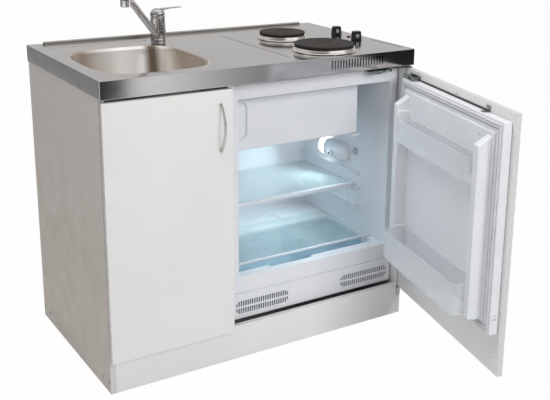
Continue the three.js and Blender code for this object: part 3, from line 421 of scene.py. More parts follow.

# %% [markdown]
# The world sheds a mid grey light, and is white where the camera or glass looks at
# it. In gloss it is a studio room that only reflections see: grey behind, dark at
# both sides, and in front a bright band over the camera and a bright ceiling. Its
# levels were set until the steel showed what it shows in a real studio.

# %% World
world = bpy.data.worlds.new("studio")
bpy.context.scene.world = world
world.use_nodes = True
tree = world.node_tree
for node in list(tree.nodes):
    tree.nodes.remove(node)
soft = add(tree, "ShaderNodeBackground", Color=(1.0, 0.985, 0.965, 1), Strength=0.355)
seen = add(tree, "ShaderNodeBackground", Color=(1, 1, 1, 1), Strength=1.0)
room = add(tree, "ShaderNodeBackground")
plain = mixed(tree, either_ray(tree, "Is Camera Ray", "Is Transmission Ray"), soft.outputs[0],
              seen.outputs[0])
path = add(tree, "ShaderNodeLightPath")
out = add(tree, "ShaderNodeOutputWorld")
link(tree, mixed(tree, path.outputs["Is Glossy Ray"], plain, room.outputs[0]), out.inputs[0])


def greys(*stops):
    """Stops of a ramp in a slightly warm grey; each is its place and its level."""
    return [(place, (level, level * 0.985, level * 0.96)) for place, level in stops]


direction = add(tree, "ShaderNodeTexCoord")
parts = add(tree, "ShaderNodeSeparateXYZ")
link(tree, direction.outputs["Generated"], parts.inputs[0])
height = parts.outputs["Z"]
backdrop = ramp(tree, height, greys((0.0, 0.60), (0.42, 0.60), (0.60, 0.42), (0.80, 0.85), (1.0, 1.0)))
band = ramp(tree, height, greys((0.0, 0.30), (0.06, 0.07), (0.12, 0.07), (0.24, 1.0), (0.50, 1.0),
                                (0.62, 0.60), (1.0, 1.0)))
side_dark = ramp(tree, height, greys((0.0, 0.08), (0.14, 0.10), (0.26, 0.42), (0.46, 0.42),
                                     (0.60, 0.12), (1.0, 0.80)))
band_left = blended(tree, step(tree, parts.outputs["X"], -0.30, -0.05), side_dark, band)
front_room = blended(tree, step(tree, parts.outputs["X"], 0.66, 0.84), band_left, side_dark)
whole_room = blended(tree, step(tree, parts.outputs["Y"], -0.15, 0.35), front_room, backdrop)
link(tree, whole_room, room.inputs["Color"])
print("world nodes:", len(tree.nodes))

# %% [markdown]
# A large soft lamp in front makes the doors bright, and one overhead reaches the
# open door, while the left side lies in shade. The lamps are hidden from gloss, as
# the room above already gives the metal what it mirrors.

# %% Lamps
def lamp(name, place, target, size, watts, colour=(1, 1, 1)):
    nothing_selected()
    bpy.ops.object.light_add(type="AREA", location=place)
    light = bpy.context.object
    light.name = name
    light.data.size = size
    light.data.energy = watts
    light.data.color = colour
    light.visible_glossy = False
    light.visible_camera = False
    light.rotation_euler = (Vector(target) - Vector(place)).to_track_quat("-Z", "Y").to_euler()
    return light


lamp("key", (0.2, -3.4, 2.2), (0.1, 0.1, 0.5), 1.5, 64, (1.0, 0.995, 0.985))
lamp("overhead", (-0.42, -0.15, 2.3), (0.4, -0.25, 0.4), 1.0, 22, (1.0, 0.99, 0.98))
lamp("fill", (-2.6, -2.4, 1.6), (0.0, 0.0, 0.5), 2.2, 3, (1.0, 0.93, 0.86))

# %% [markdown]
# Satin steel shows what stands round it. In a studio these are dark flags beside
# the camera, and they give the apron its dark ends. Here they are cards with soft
# ends, seen by reflections alone, so they neither shade the unit nor show in a view.

# %% Dark flags for the steel
def flag(name, x, y, z, clear=(0, 0), full=(1, 1)):
    """A card that is clear at one X and full at another, with its opacity at both."""
    card = block(name, x, y, z)
    paint = bpy.data.materials.new(name)
    paint.use_nodes = True
    tree = paint.node_tree
    shader = tree.nodes["Principled BSDF"]
    shader.inputs["Base Color"].default_value = (0.018, 0.025, 0.019, 1)
    shader.inputs["Roughness"].default_value = 1
    opacity = step_along(tree, "X", clear[0] * MM, full[0] * MM, clear[1], full[1])
    link(tree, opacity, shader.inputs["Alpha"])
    card.data.materials.append(paint)
    for ray in ("camera", "diffuse", "transmission", "shadow", "volume_scatter"):
        setattr(card, "visible_" + ray, False)


flag("flag left", (-700, 160), (-1510, -1500), (20, 1300), (-800, 1))
flag("flag right", (300, 2600), (-1510, -1500), (20, 1300), (300, 0), (1500, 1))
flag("flag back left", (-1520, -1500), (500, 5500), (20, 1500), (-1600, 0.5), (1, 0.5))

# %% [markdown]
# ## Shared effects
# Most finishes on this unit need the same few touches: drawn hairlines in steel,
# soft smudges where hands and cloths have been, and a fine skin on moulded and
# coated surfaces. Each is one node group with named sockets, placed in a material
# with that material's own values. They read Object coordinates, which are the
# unit's own metres, so a pattern has its real size everywhere.

# %% Building a node group
def effect(name, inputs, outputs):
    """An empty group with float or vector sockets; returns it with its two ends."""
    tree = bpy.data.node_groups.new(name, "ShaderNodeTree")
    for label, value in inputs.items():
        kind = "NodeSocketVector" if isinstance(value, tuple) else "NodeSocketFloat"
        socket = tree.interface.new_socket(label, in_out="INPUT", socket_type=kind)
        socket.default_value = value
    for label in outputs:
        tree.interface.new_socket(label, in_out="OUTPUT", socket_type="NodeSocketFloat")
    return tree, tree.nodes.new("NodeGroupInput"), tree.nodes.new("NodeGroupOutput")


def spread(tree, source, low, high):
    """Maps the middle of a noise onto low..high; low and high are sockets."""
    node = add(tree, "ShaderNodeMapRange", clamp=True, interpolation_type="SMOOTHSTEP",
               From_Min=0.25, From_Max=0.75)
    link(tree, source, node.inputs["Value"])
    link(tree, low, node.inputs["To Min"])
    link(tree, high, node.inputs["To Max"])
    return node.outputs["Result"]


# %% Stretched grain, used for hairlines, mottle and moulded skin
GRAIN, ends_in, ends_out = effect("grain", {"Stretch": (1.0, 1.0, 1.0), "Scale": 500.0, "Detail": 2.0,
                                            "Low": 0.0, "High": 1.0}, ["Value"])
where = add(GRAIN, "ShaderNodeTexCoord")
pull = add(GRAIN, "ShaderNodeVectorMath", operation="MULTIPLY")
noise = add(GRAIN, "ShaderNodeTexNoise", Roughness=0.55)
link(GRAIN, where.outputs["Object"], pull.inputs[0])
link(GRAIN, ends_in.outputs["Stretch"], pull.inputs[1])
link(GRAIN, pull.outputs[0], noise.inputs["Vector"])
link(GRAIN, ends_in.outputs["Scale"], noise.inputs["Scale"])
link(GRAIN, ends_in.outputs["Detail"], noise.inputs["Detail"])
link(GRAIN, spread(GRAIN, noise.outputs[0], ends_in.outputs["Low"], ends_in.outputs["High"]),
     ends_out.inputs["Value"])

# %% Turned rings about an upright axis, used on hotplates and steel rings
RINGS, ends_in, ends_out = effect("turned rings", {"Centre": (0.0, 0.0, 0.0), "Per metre": 600.0},
                                  ["Value", "Radius"])
where = add(RINGS, "ShaderNodeTexCoord")
away = add(RINGS, "ShaderNodeVectorMath", operation="SUBTRACT")
flat = add(RINGS, "ShaderNodeVectorMath", operation="MULTIPLY")
flat.inputs[1].default_value = (1, 1, 0)
reach = add(RINGS, "ShaderNodeVectorMath", operation="LENGTH")
turns = add(RINGS, "ShaderNodeMath", operation="MULTIPLY")
wave = add(RINGS, "ShaderNodeMath", operation="SINE")
link(RINGS, where.outputs["Object"], away.inputs[0])
link(RINGS, ends_in.outputs["Centre"], away.inputs[1])
link(RINGS, away.outputs[0], flat.inputs[0])
link(RINGS, flat.outputs[0], reach.inputs[0])
link(RINGS, reach.outputs["Value"], turns.inputs[0])
link(RINGS, ends_in.outputs["Per metre"], turns.inputs[1])
link(RINGS, turns.outputs[0], wave.inputs[0])
link(RINGS, wave.outputs[0], ends_out.inputs["Value"])
link(RINGS, reach.outputs["Value"], ends_out.inputs["Radius"])
print("effects:", GRAIN.name, RINGS.name)

# %% [markdown]
# ## Finishes
# One small function starts every material: a Principled BSDF with plain values on
# its own sockets. Colour mottle, uneven gloss and a fine bump are then added from
# the shared effects, with sizes taken from the real surface.

# %% A material and its touches
def finish(name, colour, roughness, metallic=0.0, **sockets):
    paint = bpy.data.materials.new(name)
    paint.use_nodes = True
    shader = paint.node_tree.nodes["Principled BSDF"]
    shader.inputs["Base Color"].default_value = (*colour, 1)
    shader.inputs["Roughness"].default_value = roughness
    shader.inputs["Metallic"].default_value = metallic
    for key, value in sockets.items():
        shader.inputs[key.replace("_", " ")].default_value = value
    return paint


def shader_of(paint):
    return paint.node_tree.nodes["Principled BSDF"]


def grain(paint, scale, low, high, stretch=(1.0, 1.0, 1.0), detail=2.0):
    node = paint.node_tree.nodes.new("ShaderNodeGroup")
    node.node_tree = GRAIN
    for key, value in (("Stretch", stretch), ("Scale", scale), ("Detail", detail), ("Low", low),
                       ("High", high)):
        node.inputs[key].default_value = value
    return node.outputs["Value"]


def uneven_gloss(paint, scale, low, high, stretch=(1.0, 1.0, 1.0)):
    link(paint.node_tree, grain(paint, scale, low, high, stretch), shader_of(paint).inputs["Roughness"])


def mottle(paint, colours, scale, stretch=(1.0, 1.0, 1.0), detail=3.0):
    tree = paint.node_tree
    blend = add(tree, "ShaderNodeMix", data_type="RGBA")
    for socket, colour in zip(colours_of(blend.inputs), colours):
        socket.default_value = (*colour, 1)
    link(tree, grain(paint, scale, 0.0, 1.0, stretch, detail), blend.inputs["Factor"])
    link(tree, colours_of(blend.outputs)[0], shader_of(paint).inputs["Base Color"])
    return blend


def relief(paint, height, strength, distance):
    """Adds a bump to the normal; called again, it stacks on the last one."""
    tree = paint.node_tree
    bump = add(tree, "ShaderNodeBump", Strength=strength, Distance=distance)
    link(tree, height, bump.inputs["Height"])
    normal = shader_of(paint).inputs["Normal"]
    if normal.is_linked:
        link(tree, normal.links[0].from_socket, bump.inputs["Normal"])
    link(tree, bump.outputs[0], normal)


def skin(paint, scale, strength, stretch=(1.0, 1.0, 1.0), distance=0.0004):
    relief(paint, grain(paint, scale, 0.0, 1.0, stretch, 3.0), strength, distance)


# %% [markdown]
# The worktop is rolled stainless sheet. Its hairlines run from left to right, and
# it has been wiped, so the gloss changes slowly over a hand's width. The bowl is
# pressed from the same sheet but polished a little by the press. Its bright middle,
# brown band and brown ends are painted reflections, as a ramp along X: a real bowl
# mirrors them from the room. The painted reflections stay where they are under any light and in any view.

# %% Steel and chrome
steel = finish("satin steel sheet", (0.60, 0.585, 0.59), 0.13, 1.0)
mottle(steel, ((0.61, 0.595, 0.60), (0.585, 0.57, 0.575)), 70.0, (0.12, 12.0, 12.0))
uneven_gloss(steel, 7.0, 0.11, 0.15, (1.0, 3.0, 3.0))

# The rear ridge: the same steel painted darker and given a rougher gloss, a painted dark reflection.
ridge_steel_painted_dark = finish("ridge steel with painted dark reflection", (0.46, 0.44, 0.42), 0.30, 1.0)
mottle(ridge_steel_painted_dark, ((0.49, 0.47, 0.45), (0.43, 0.41, 0.39)), 40.0, (0.2, 6.0, 6.0))
uneven_gloss(ridge_steel_painted_dark, 9.0, 0.26, 0.36)

bowl_steel = finish("pressed bowl steel", (0.90, 0.89, 0.88), 0.20, 0.56)
BOWL_FROM, BOWL_TO = -0.46, -0.12
REFLECTED_BROWN, REFLECTED_BAND = (0.44, 0.36, 0.31), (0.19, 0.145, 0.11)
# Painted reflections in the bowl: a bright middle, a brown band and brown ends, set along X.
bowl_painted_reflections = ramp(bowl_steel.node_tree, step_along(bowl_steel.node_tree, "X", BOWL_FROM, BOWL_TO), (
    (0.0, (0.48, 0.42, 0.38)), (0.20, REFLECTED_BROWN), (0.36, (0.68, 0.65, 0.62)), (0.54, (0.99, 0.99, 0.98)),
    (0.745, (0.90, 0.89, 0.87)), (0.805, REFLECTED_BAND), (0.84, REFLECTED_BAND), (0.885, (0.84, 0.81, 0.77)),
    (0.92, (0.82, 0.78, 0.73)), (0.955, (0.43, 0.36, 0.30))))
link(bowl_steel.node_tree, bowl_painted_reflections, shader_of(bowl_steel).inputs["Base Color"])
uneven_gloss(bowl_steel, 8.0, 0.17, 0.24)

chrome = finish("polished chrome", (0.66, 0.65, 0.65), 0.06, 1.0)
uneven_gloss(chrome, 55.0, 0.04, 0.12)
skin(chrome, 90.0, 0.02, distance=0.0002)

zinc = finish("zinc plated steel", (0.52, 0.53, 0.52), 0.34, 1.0)
mottle(zinc, ((0.58, 0.59, 0.57), (0.42, 0.44, 0.45)), 160.0)
uneven_gloss(zinc, 90.0, 0.26, 0.44)
skin(zinc, 700.0, 0.08, distance=0.0001)

hinge_steel = finish("passivated hinge steel", (0.27, 0.31, 0.28), 0.28, 1.0)
mottle(hinge_steel, ((0.34, 0.38, 0.35), (0.16, 0.20, 0.18)), 130.0)
uneven_gloss(hinge_steel, 90.0, 0.20, 0.38)
skin(hinge_steel, 700.0, 0.08, distance=0.0001)

# %% [markdown]
# The carcass is chipboard with a white melamine coat. Close up the coat has a very
# fine pearl texture, and its cut edges carry a thin glued band, a touch glossier.
# The left side stands in shade, and its shade is painted into its colour: warmer
# and darker at the bottom than at the top, as a rise along Z.

# %% Boards
board_white = finish("white melamine", (0.80, 0.80, 0.795), 0.42)
mottle(board_white, ((0.815, 0.815, 0.81), (0.785, 0.785, 0.78)), 3.5)
uneven_gloss(board_white, 18.0, 0.36, 0.50)
skin(board_white, 1300.0, 0.10, distance=0.0002)

painted_shade_side_board = finish("side melamine with painted shade", (0.70, 0.64, 0.60), 0.42)
# Painted shade: the side board's colour runs from a dark warm foot to a light top along Z.
SHADE_FROM, SHADE_TO = 0.35, 0.90
shade = mottle(painted_shade_side_board, ((0.63, 0.565, 0.51), (0.84, 0.785, 0.76)), 3.5)
link(painted_shade_side_board.node_tree, step_along(painted_shade_side_board.node_tree, "Z", SHADE_FROM, SHADE_TO),
     shade.inputs["Factor"])
uneven_gloss(painted_shade_side_board, 18.0, 0.36, 0.50)
skin(painted_shade_side_board, 1300.0, 0.10, distance=0.0002)

edge_band = finish("glued edge band", (0.66, 0.66, 0.655), 0.33)
mottle(edge_band, ((0.68, 0.68, 0.675), (0.635, 0.635, 0.63)), 30.0, (1.0, 1.0, 0.2))
uneven_gloss(edge_band, 40.0, 0.28, 0.40)
skin(edge_band, 500.0, 0.06, (4.0, 4.0, 0.4), 0.0002)

back_board = finish("thin hardboard back", (0.74, 0.73, 0.71), 0.6)
mottle(back_board, ((0.76, 0.75, 0.73), (0.69, 0.675, 0.65)), 60.0)
skin(back_board, 900.0, 0.2, distance=0.0002)

# %% [markdown]
# The refrigerator's liner is a vacuum-formed white sheet with a slight waviness
# and a cool tint. Its moulded trims are harder and greyer, its bins and crisper
# are clear styrene that looks a little milky, and its shelves are green-edged glass.

# %% Plastics, rubber and glass
liner = finish("formed liner", (0.78, 0.80, 0.84), 0.30)
mottle(liner, ((0.795, 0.81, 0.85), (0.765, 0.785, 0.83)), 4.0)
uneven_gloss(liner, 5.0, 0.27, 0.35)
relief(liner, grain(liner, 6.0, 0.0, 1.0, detail=0.0), 0.05, 0.0006)

moulding = finish("white moulding", (0.77, 0.79, 0.83), 0.40)
mottle(moulding, ((0.785, 0.80, 0.84), (0.75, 0.77, 0.815)), 12.0)
uneven_gloss(moulding, 60.0, 0.34, 0.48)
skin(moulding, 1600.0, 0.12, distance=0.0001)

shell_paint = finish("painted cabinet steel", (0.76, 0.77, 0.78), 0.36)
mottle(shell_paint, ((0.775, 0.785, 0.795), (0.74, 0.75, 0.76)), 6.0)
skin(shell_paint, 260.0, 0.10, distance=0.0002)

gasket_rubber = finish("soft white seal", (0.68, 0.69, 0.72), 0.62)
mottle(gasket_rubber, ((0.70, 0.71, 0.74), (0.63, 0.64, 0.67)), 26.0)
skin(gasket_rubber, 900.0, 0.15, distance=0.0001)

grey_plastic = finish("pale grey moulding", (0.50, 0.52, 0.55), 0.45)
mottle(grey_plastic, ((0.52, 0.54, 0.57), (0.47, 0.49, 0.52)), 40.0)
skin(grey_plastic, 1500.0, 0.15, distance=0.0001)

black_plastic = finish("black bakelite", (0.012, 0.012, 0.012), 0.32)
uneven_gloss(black_plastic, 120.0, 0.24, 0.42)
skin(black_plastic, 1400.0, 0.12, distance=0.0001)

pipe_white = finish("white pipe plastic", (0.78, 0.78, 0.77), 0.42)
mottle(pipe_white, ((0.80, 0.80, 0.79), (0.74, 0.74, 0.72)), 20.0)
skin(pipe_white, 600.0, 0.08, distance=0.0002)


def see_through(paint, facing, edge_on):
    """Opacity that rises where the surface is seen edge on."""
    tree = paint.node_tree
    weight = add(tree, "ShaderNodeLayerWeight", Blend=0.35)
    link(tree, step(tree, weight.outputs["Facing"], 0.0, 1.0, facing, edge_on),
         shader_of(paint).inputs["Alpha"])


clear_plastic = finish("clear styrene", (0.86, 0.89, 0.93), 0.12, Transmission_Weight=0.35, IOR=1.3)
uneven_gloss(clear_plastic, 30.0, 0.08, 0.18)
see_through(clear_plastic, 0.13, 0.95)

crisper_plastic = finish("blue tinged styrene", (0.62, 0.82, 0.94), 0.10, Transmission_Weight=0.4, IOR=1.3)
uneven_gloss(crisper_plastic, 30.0, 0.06, 0.16)
see_through(crisper_plastic, 0.28, 0.85)

shelf_glass = finish("green edged glass", (0.80, 0.93, 0.92), 0.04, Transmission_Weight=0.7, IOR=1.3)
uneven_gloss(shelf_glass, 25.0, 0.02, 0.06)
see_through(shelf_glass, 0.12, 0.62)

lens = finish("glowing lens", (0.95, 1.0, 1.0), 0.4, Emission_Strength=2.6)
glow = mottle(lens, ((0.92, 0.97, 0.97), (0.98, 1.0, 1.0)), 90.0)
link(lens.node_tree, colours_of(glow.outputs)[0], shader_of(lens).inputs["Emission Color"])

amber = finish("amber lamp cap", (0.05, 0.012, 0.008), 0.2, Transmission_Weight=0.3, IOR=1.45)
uneven_gloss(amber, 200.0, 0.12, 0.28)

# %% [markdown]
# Cast iron plates are machined in fine rings and darken and brown with heat, most
# of all in the middle. The stainless rings round them are polished and pick up a
# straw tint where they meet the iron.

# %% Iron, rings, black steel and braid
def heated(name, centre, dark, brown, gloss, per_metre, metallic, depth):
    paint = finish(name, dark, gloss[0], metallic, Specular_IOR_Level=0.25)
    tree = paint.node_tree
    node = tree.nodes.new("ShaderNodeGroup")
    node.node_tree = RINGS
    node.inputs["Centre"].default_value = [c * MM for c in centre] + [0.0]
    node.inputs["Per metre"].default_value = per_metre
    tint = mottle(paint, (dark, brown), 26.0)
    shade = add(tree, "ShaderNodeMath", operation="MULTIPLY")
    link(tree, step(tree, node.outputs["Radius"], 0.0, 0.095, 1.0, 0.25), shade.inputs[0])
    link(tree, grain(paint, 40.0, 0.2, 1.0), shade.inputs[1])
    link(tree, shade.outputs[0], tint.inputs["Factor"])
    uneven_gloss(paint, 70.0, *gloss)
    relief(paint, node.outputs["Value"], depth, 0.0004)
    return paint


PLATE_X, REAR_Y, FRONT_Y = 243, 326, 84
IRON_GLOSS, RIM_COLOUR, RIM_GLOSS = (0.52, 0.70), (0.86, 0.85, 0.85), (0.05, 0.10)
iron_rear = heated("rear plate iron", (PLATE_X, REAR_Y), (0.024, 0.022, 0.021), (0.046, 0.032, 0.027),
                   IRON_GLOSS, 2600.0, 0.1, 0.35)
iron_front = heated("front plate iron", (PLATE_X, FRONT_Y), (0.022, 0.021, 0.020), (0.036, 0.029, 0.026),
                    IRON_GLOSS, 2600.0, 0.1, 0.35)
rim_rear = heated("rear plate rim", (PLATE_X, REAR_Y), RIM_COLOUR, (0.62, 0.46, 0.36), RIM_GLOSS,
                  3000.0, 1.0, 0.03)
rim_front = heated("front plate rim", (PLATE_X, FRONT_Y), RIM_COLOUR, (0.62, 0.47, 0.38), RIM_GLOSS,
                   3000.0, 1.0, 0.03)

base_grey = finish("grey painted base", (0.28, 0.28, 0.29), 0.5)
mottle(base_grey, ((0.30, 0.30, 0.31), (0.25, 0.25, 0.26)), 30.0)
skin(base_grey, 420.0, 0.15, distance=0.0002)

black_steel = finish("black lacquered steel", (0.022, 0.023, 0.025), 0.42, 0.4)
uneven_gloss(black_steel, 35.0, 0.34, 0.55)
skin(black_steel, 420.0, 0.15, distance=0.0002)

braid = finish("woven steel braid", (0.55, 0.56, 0.57), 0.33, 1.0)
mottle(braid, ((0.62, 0.63, 0.64), (0.28, 0.29, 0.30)), 900.0, (1.0, 1.0, 0.6), 1.0)
skin(braid, 900.0, 0.6, (1.0, 1.0, 0.6), 0.0006)
print("finishes:", len(bpy.data.materials))


def wear(piece, *paints):
    """Gives a piece its finishes; faces keep the number of the finish they had."""
    numbers = [min(face.material_index, len(paints) - 1) for face in piece.data.polygons]
    piece.data.materials.clear()
    for paint in paints:
        piece.data.materials.append(paint)
    piece.data.polygons.foreach_set("material_index", numbers)
    return piece


# %% [markdown]
# ## The worktop
# The real top is one sheet, a millimetre thick: flat deck, apron folded down all
# round, a return folded under, and a bowl drawn into it. It is modelled the same
# way, as one open surface that is given its thickness at the end. The deck is a
# plane that is bisected round the bowl. The cell there is taken out, its edge is
# divided and extruded inwards, and each new vertex is set on the bowl's outline.

# %% Deck with the bowl's outline
LEFT, RIGHT, FRONT, BACK, TOP, APRON = -500, 500, -28, 572, 880, 830
BOWL_X, BOWL_Y, BOWL_A, BOWL_B, BOWL_POWER = -294, 212, 168, 194, 3.5
LOOP, SHEET = 96, 1.2
CELL_A, CELL_B = 182, 208
NEAR_CELL = CELL_A - BOWL_A + 1


def at_bowl(co, margin):
    return abs(co.x - BOWL_X) < BOWL_A + margin and abs(co.y - BOWL_Y) < BOWL_B + margin


def pick_open(piece, test):
    """Selects the edges that have a face on one side at most and pass the test."""
    pick(piece, lambda c, d: False, "EDGE")
    mesh = bmesh.from_edit_mesh(piece.data)
    for edge in mesh.edges:
        if len(edge.link_faces) < 2 and test((edge.verts[0].co + edge.verts[1].co) / 2 / MM):
            edge.select_set(True)
    bmesh.update_edit_mesh(piece.data)


nothing_selected()
bpy.ops.mesh.primitive_plane_add(size=1, location=(0, (FRONT + BACK) / 2 * MM, TOP * MM), scale=(1, 1, 1))
bpy.context.object.scale = ((RIGHT - LEFT) * MM, (BACK - FRONT) * MM, 1)
top = settle("worktop sheet")
for x in (BOWL_X - CELL_A, BOWL_X + CELL_A):
    split(top, (x, 0, TOP), (1, 0, 0))
for y in (BOWL_Y - CELL_B, BOWL_Y + CELL_B):
    split(top, (0, y, TOP), (0, 1, 0))
pick(top, lambda c, d: at_bowl(c, 0))
bpy.ops.mesh.delete(type="ONLY_FACE")
leave_edit()
pick(top, lambda c, d: at_bowl(c, NEAR_CELL) and (
    abs(abs(c.x - BOWL_X) - CELL_A) < 1 or abs(abs(c.y - BOWL_Y) - CELL_B) < 1), "EDGE")
bpy.ops.mesh.subdivide(number_cuts=LOOP // 4 - 1)
leave_edit()


def extrude_onto(piece, place):
    """Extrudes the bowl's open edge and sets each new vertex where place says."""
    pick_open(piece, lambda c: at_bowl(c, NEAR_CELL))
    extrude()
    leave_edit()
    for vert in piece.data.vertices:
        if vert.select:
            vert.co = Vector(place(vert.co.x / MM - BOWL_X, vert.co.y / MM - BOWL_Y)) * MM


def on_outline(dx, dy):
    reach = ((abs(dx) / BOWL_A) ** BOWL_POWER + (abs(dy) / BOWL_B) ** BOWL_POWER) ** (-1 / BOWL_POWER)
    return (BOWL_X + dx * reach, BOWL_Y + dy * reach, TOP)


extrude_onto(top, on_outline)
print("deck:", len(top.data.polygons), "faces")

# %% [markdown]
# The bowl goes down ring by ring: its edge loop is extruded, lowered and drawn in.
# The first rings are close together and make the rolled lip. The last ones sweep
# round into the floor, and the very last is set on the waste's round hole.

# %% Bowl, drawn ring by ring
WASTE_Y, WASTE_HOLE, BOWL_DEPTH = BOWL_Y + 20, 28, 139
RINGS_DOWN = [(0.3, 1.2), (1.2, 2.6), (2.6, 3.8), (5, 4.9), (10, 6.2), (30, 8.6), (60, 11), (90, 14),
              (108, 18), (120, 24), (128, 32), (133.5, 42), (136.5, 55), (138, 72), (BOWL_DEPTH, 100)]
pick_open(top, lambda c: at_bowl(c, 5))
depth, inset = 0, 0
for to_depth, to_inset in RINGS_DOWN:
    extrude(depth - to_depth)
    narrower = [(half - to_inset) / (half - inset) for half in (BOWL_A, BOWL_B)]
    bpy.ops.transform.resize(value=(*narrower, 1), center_override=(BOWL_X * MM, BOWL_Y * MM, 0))
    depth, inset = to_depth, to_inset
leave_edit()


def on_waste(dx, dy):
    reach = WASTE_HOLE / math.hypot(dx, dy)
    return (BOWL_X + dx * reach, WASTE_Y + dy * reach, TOP - BOWL_DEPTH - 0.6)


extrude_onto(top, on_waste)

# %% [markdown]
# The apron is the deck's outer edge, extruded down and folded under. The folds get
# a small round, as bent sheet has, and then the whole surface gets its thickness.

# %% Apron and thickness
RETURN = 14


def on_rim(c):
    sides = abs(c.x - LEFT) < 0.5 or abs(c.x - RIGHT) < 0.5
    return sides or abs(c.y - FRONT) < 0.5 or abs(c.y - BACK) < 0.5


def on_corner(c, d):
    front_or_back = abs(c.y - FRONT) < 0.5 or abs(c.y - BACK) < 0.5
    return abs(d.z) > 0.9 and abs(abs(c.x) - RIGHT) < 0.5 and front_or_back


pick_open(top, on_rim)
extrude(APRON - TOP)
extrude()
bpy.ops.transform.resize(value=(1 - 2 * RETURN / (RIGHT - LEFT), 1 - 2 * RETURN / (BACK - FRONT), 1),
                         center_override=(0, (FRONT + BACK) / 2 * MM, 0))
leave_edit()
clean(top)
round_edges(top, lambda c, d: on_rim(c) and (
    abs(c.z - TOP) < 0.1 or abs(c.z - APRON) < 0.1 or on_corner(c, d)), 1.5, 3)
for face in top.data.polygons:
    face.material_index = int(at_bowl(face.center / MM, -1) and face.center.z < (TOP - 0.1) * MM)
pick_all(top)
bpy.ops.mesh.normals_make_consistent(inside=False)
leave_edit()
if sum(p.area * p.normal.z for p in top.data.polygons) < 0:
    pick_all(top)
    bpy.ops.mesh.flip_normals()
    leave_edit()
apply_modifier(top, "SOLIDIFY", thickness=SHEET * MM, offset=-1.0, use_even_offset=True)
print("sheet:", len(top.data.polygons), "faces")

# %% [markdown]
# The holes come last: one for the tap, one under each hotplate, two for the knobs'
# spindles, one for the lamp, and the row of vents in the apron. The vents are one
# rounded block repeated by an Array modifier and cut in a single Boolean.

# %% Holes and vents
TAP_X, TAP_Y = -118, 474
KNOB_X, KNOB_YS, LAMP_XY = 438, (304, 192), (448, 248)
SLOTS, SLOT_PITCH, SLOT_X0 = 19, 10, 198
holes = [rod("hole", (x, y, TOP - 12), (x, y, TOP + 5), r, 48) for x, y, r in (
    (TAP_X, TAP_Y, 15), (PLATE_X, REAR_Y, 58.5), (PLATE_X, FRONT_Y, 76), (KNOB_X, KNOB_YS[0], 4),
    (KNOB_X, KNOB_YS[1], 4), (*LAMP_XY, 5))]


def row_of(piece, count, pitch):
    """Repeats a piece along X."""
    apply_modifier(piece, "ARRAY", count=count, use_relative_offset=False, use_constant_offset=True,
                   constant_offset_displace=(pitch * MM, 0, 0))


vent = block("vent", (SLOT_X0 - 2, SLOT_X0 + 2), (FRONT - 3, FRONT + 8), (APRON + 13, APRON + 39))
row_of(soften(vent, 1.4, 3), SLOTS, SLOT_PITCH)
cut(top, gather("holes", holes), vent)
print("holes:", len(holes), "vents:", SLOTS)

# %% [markdown]
# Along the back the sheet is folded up into a low ridge. The drainer and the hob
# are framed by narrow raised beads, pressed from below. Each is a block whose long
# edges are rounded nearly to its full height, welded on.

# %% Rear ridge and pressed beads
ridge = block("rear ridge", (LEFT + 45, RIGHT - 48), (BACK - 22, BACK - 12), (TOP - 1.0, TOP + 8))
round_edges(ridge, lambda c, d: c.z > TOP + 7 or abs(d.z) > 0.9, 4, 4)


def bead(x, y):
    """A narrow raised bead of the deck."""
    strip = block("bead", x, y, (TOP - 0.8, TOP + 1.4))
    return round_edges(strip, lambda c, d: c.z > TOP + 1 or abs(d.z) > 0.9, 1.6, 3)


weld(top, ridge, bead((LEFT + 25, TAP_X - 36), (TAP_Y + 6, TAP_Y + 12)), bead((88, 94), (30, 448)),
     bead((178, 236), (468, 474)), bead((RIGHT - 18, RIGHT - 12), (19, 168)))
# The ridge's upper faces get the steel with the painted dark reflection.
for face in top.data.polygons:
    if face.center.y > (BACK - 23) * MM and face.center.z > (TOP + 0.2) * MM:
        face.material_index = 2
wear(top, steel, bowl_steel, ridge_steel_painted_dark)
soften(top, 0)
fit(top, "cabinet", "worktop")

# %% [markdown]
# The waste sits in the bowl's floor: a polished dished flange with a strainer of
# eight holes round its screw. It is turned, then drilled. Below the bowl hang the
# plastic nut and the bottle trap, whose outlet runs to the wall.

# %% Waste, nut and trap
zf = TOP - 140
waste = turned("waste flange", [(0, zf - 60), (22, zf - 60), (22, zf - 12), (26, zf - 8), (26, zf + 0.4),
                                (34.2, zf + 0.4), (35, zf + 1.2), (34, zf + 2), (29, zf + 2),
                                (26, zf + 0.5), (23.5, zf - 3), (8, zf - 3.6), (6.5, zf - 2.6),
                                (5, zf - 2.2), (0, zf - 2.2)], (BOWL_X, WASTE_Y, 0), steps=72)
drills = [rod("drill", (x, y, zf - 70), (x, y, zf + 4), 3.6, 20) for x, y in around(8, 15, (BOWL_X, WASTE_Y))]
drills.append(block("screw slot", (BOWL_X - 5, BOWL_X + 5), (WASTE_Y - 0.6, WASTE_Y + 0.6), (zf - 3.2, zf)))
cut(waste, gather("drills", drills))
wear(waste, chrome)
fit(soften(waste, 0.3, 1), "cabinet", "waste_fitting")

nut = turned("waste nut", [(23, zf - 32), (38, zf - 32), (42, zf - 30), (42, zf - 4), (40, zf - 2.4),
                           (30.5, zf - 2.4), (30.5, zf - 13), (23, zf - 13), (23, zf - 32)],
             (BOWL_X, WASTE_Y, 0), steps=48)
grips = [rod("grip", (x, y, zf - 40), (x, y, zf + 4), 5, 12) for x, y in around(12, 44, (BOWL_X, WASTE_Y))]
cut(nut, gather("grips", grips))
wear(nut, pipe_white)
fit(soften(nut, 0.8), "cabinet", "waste_nut")

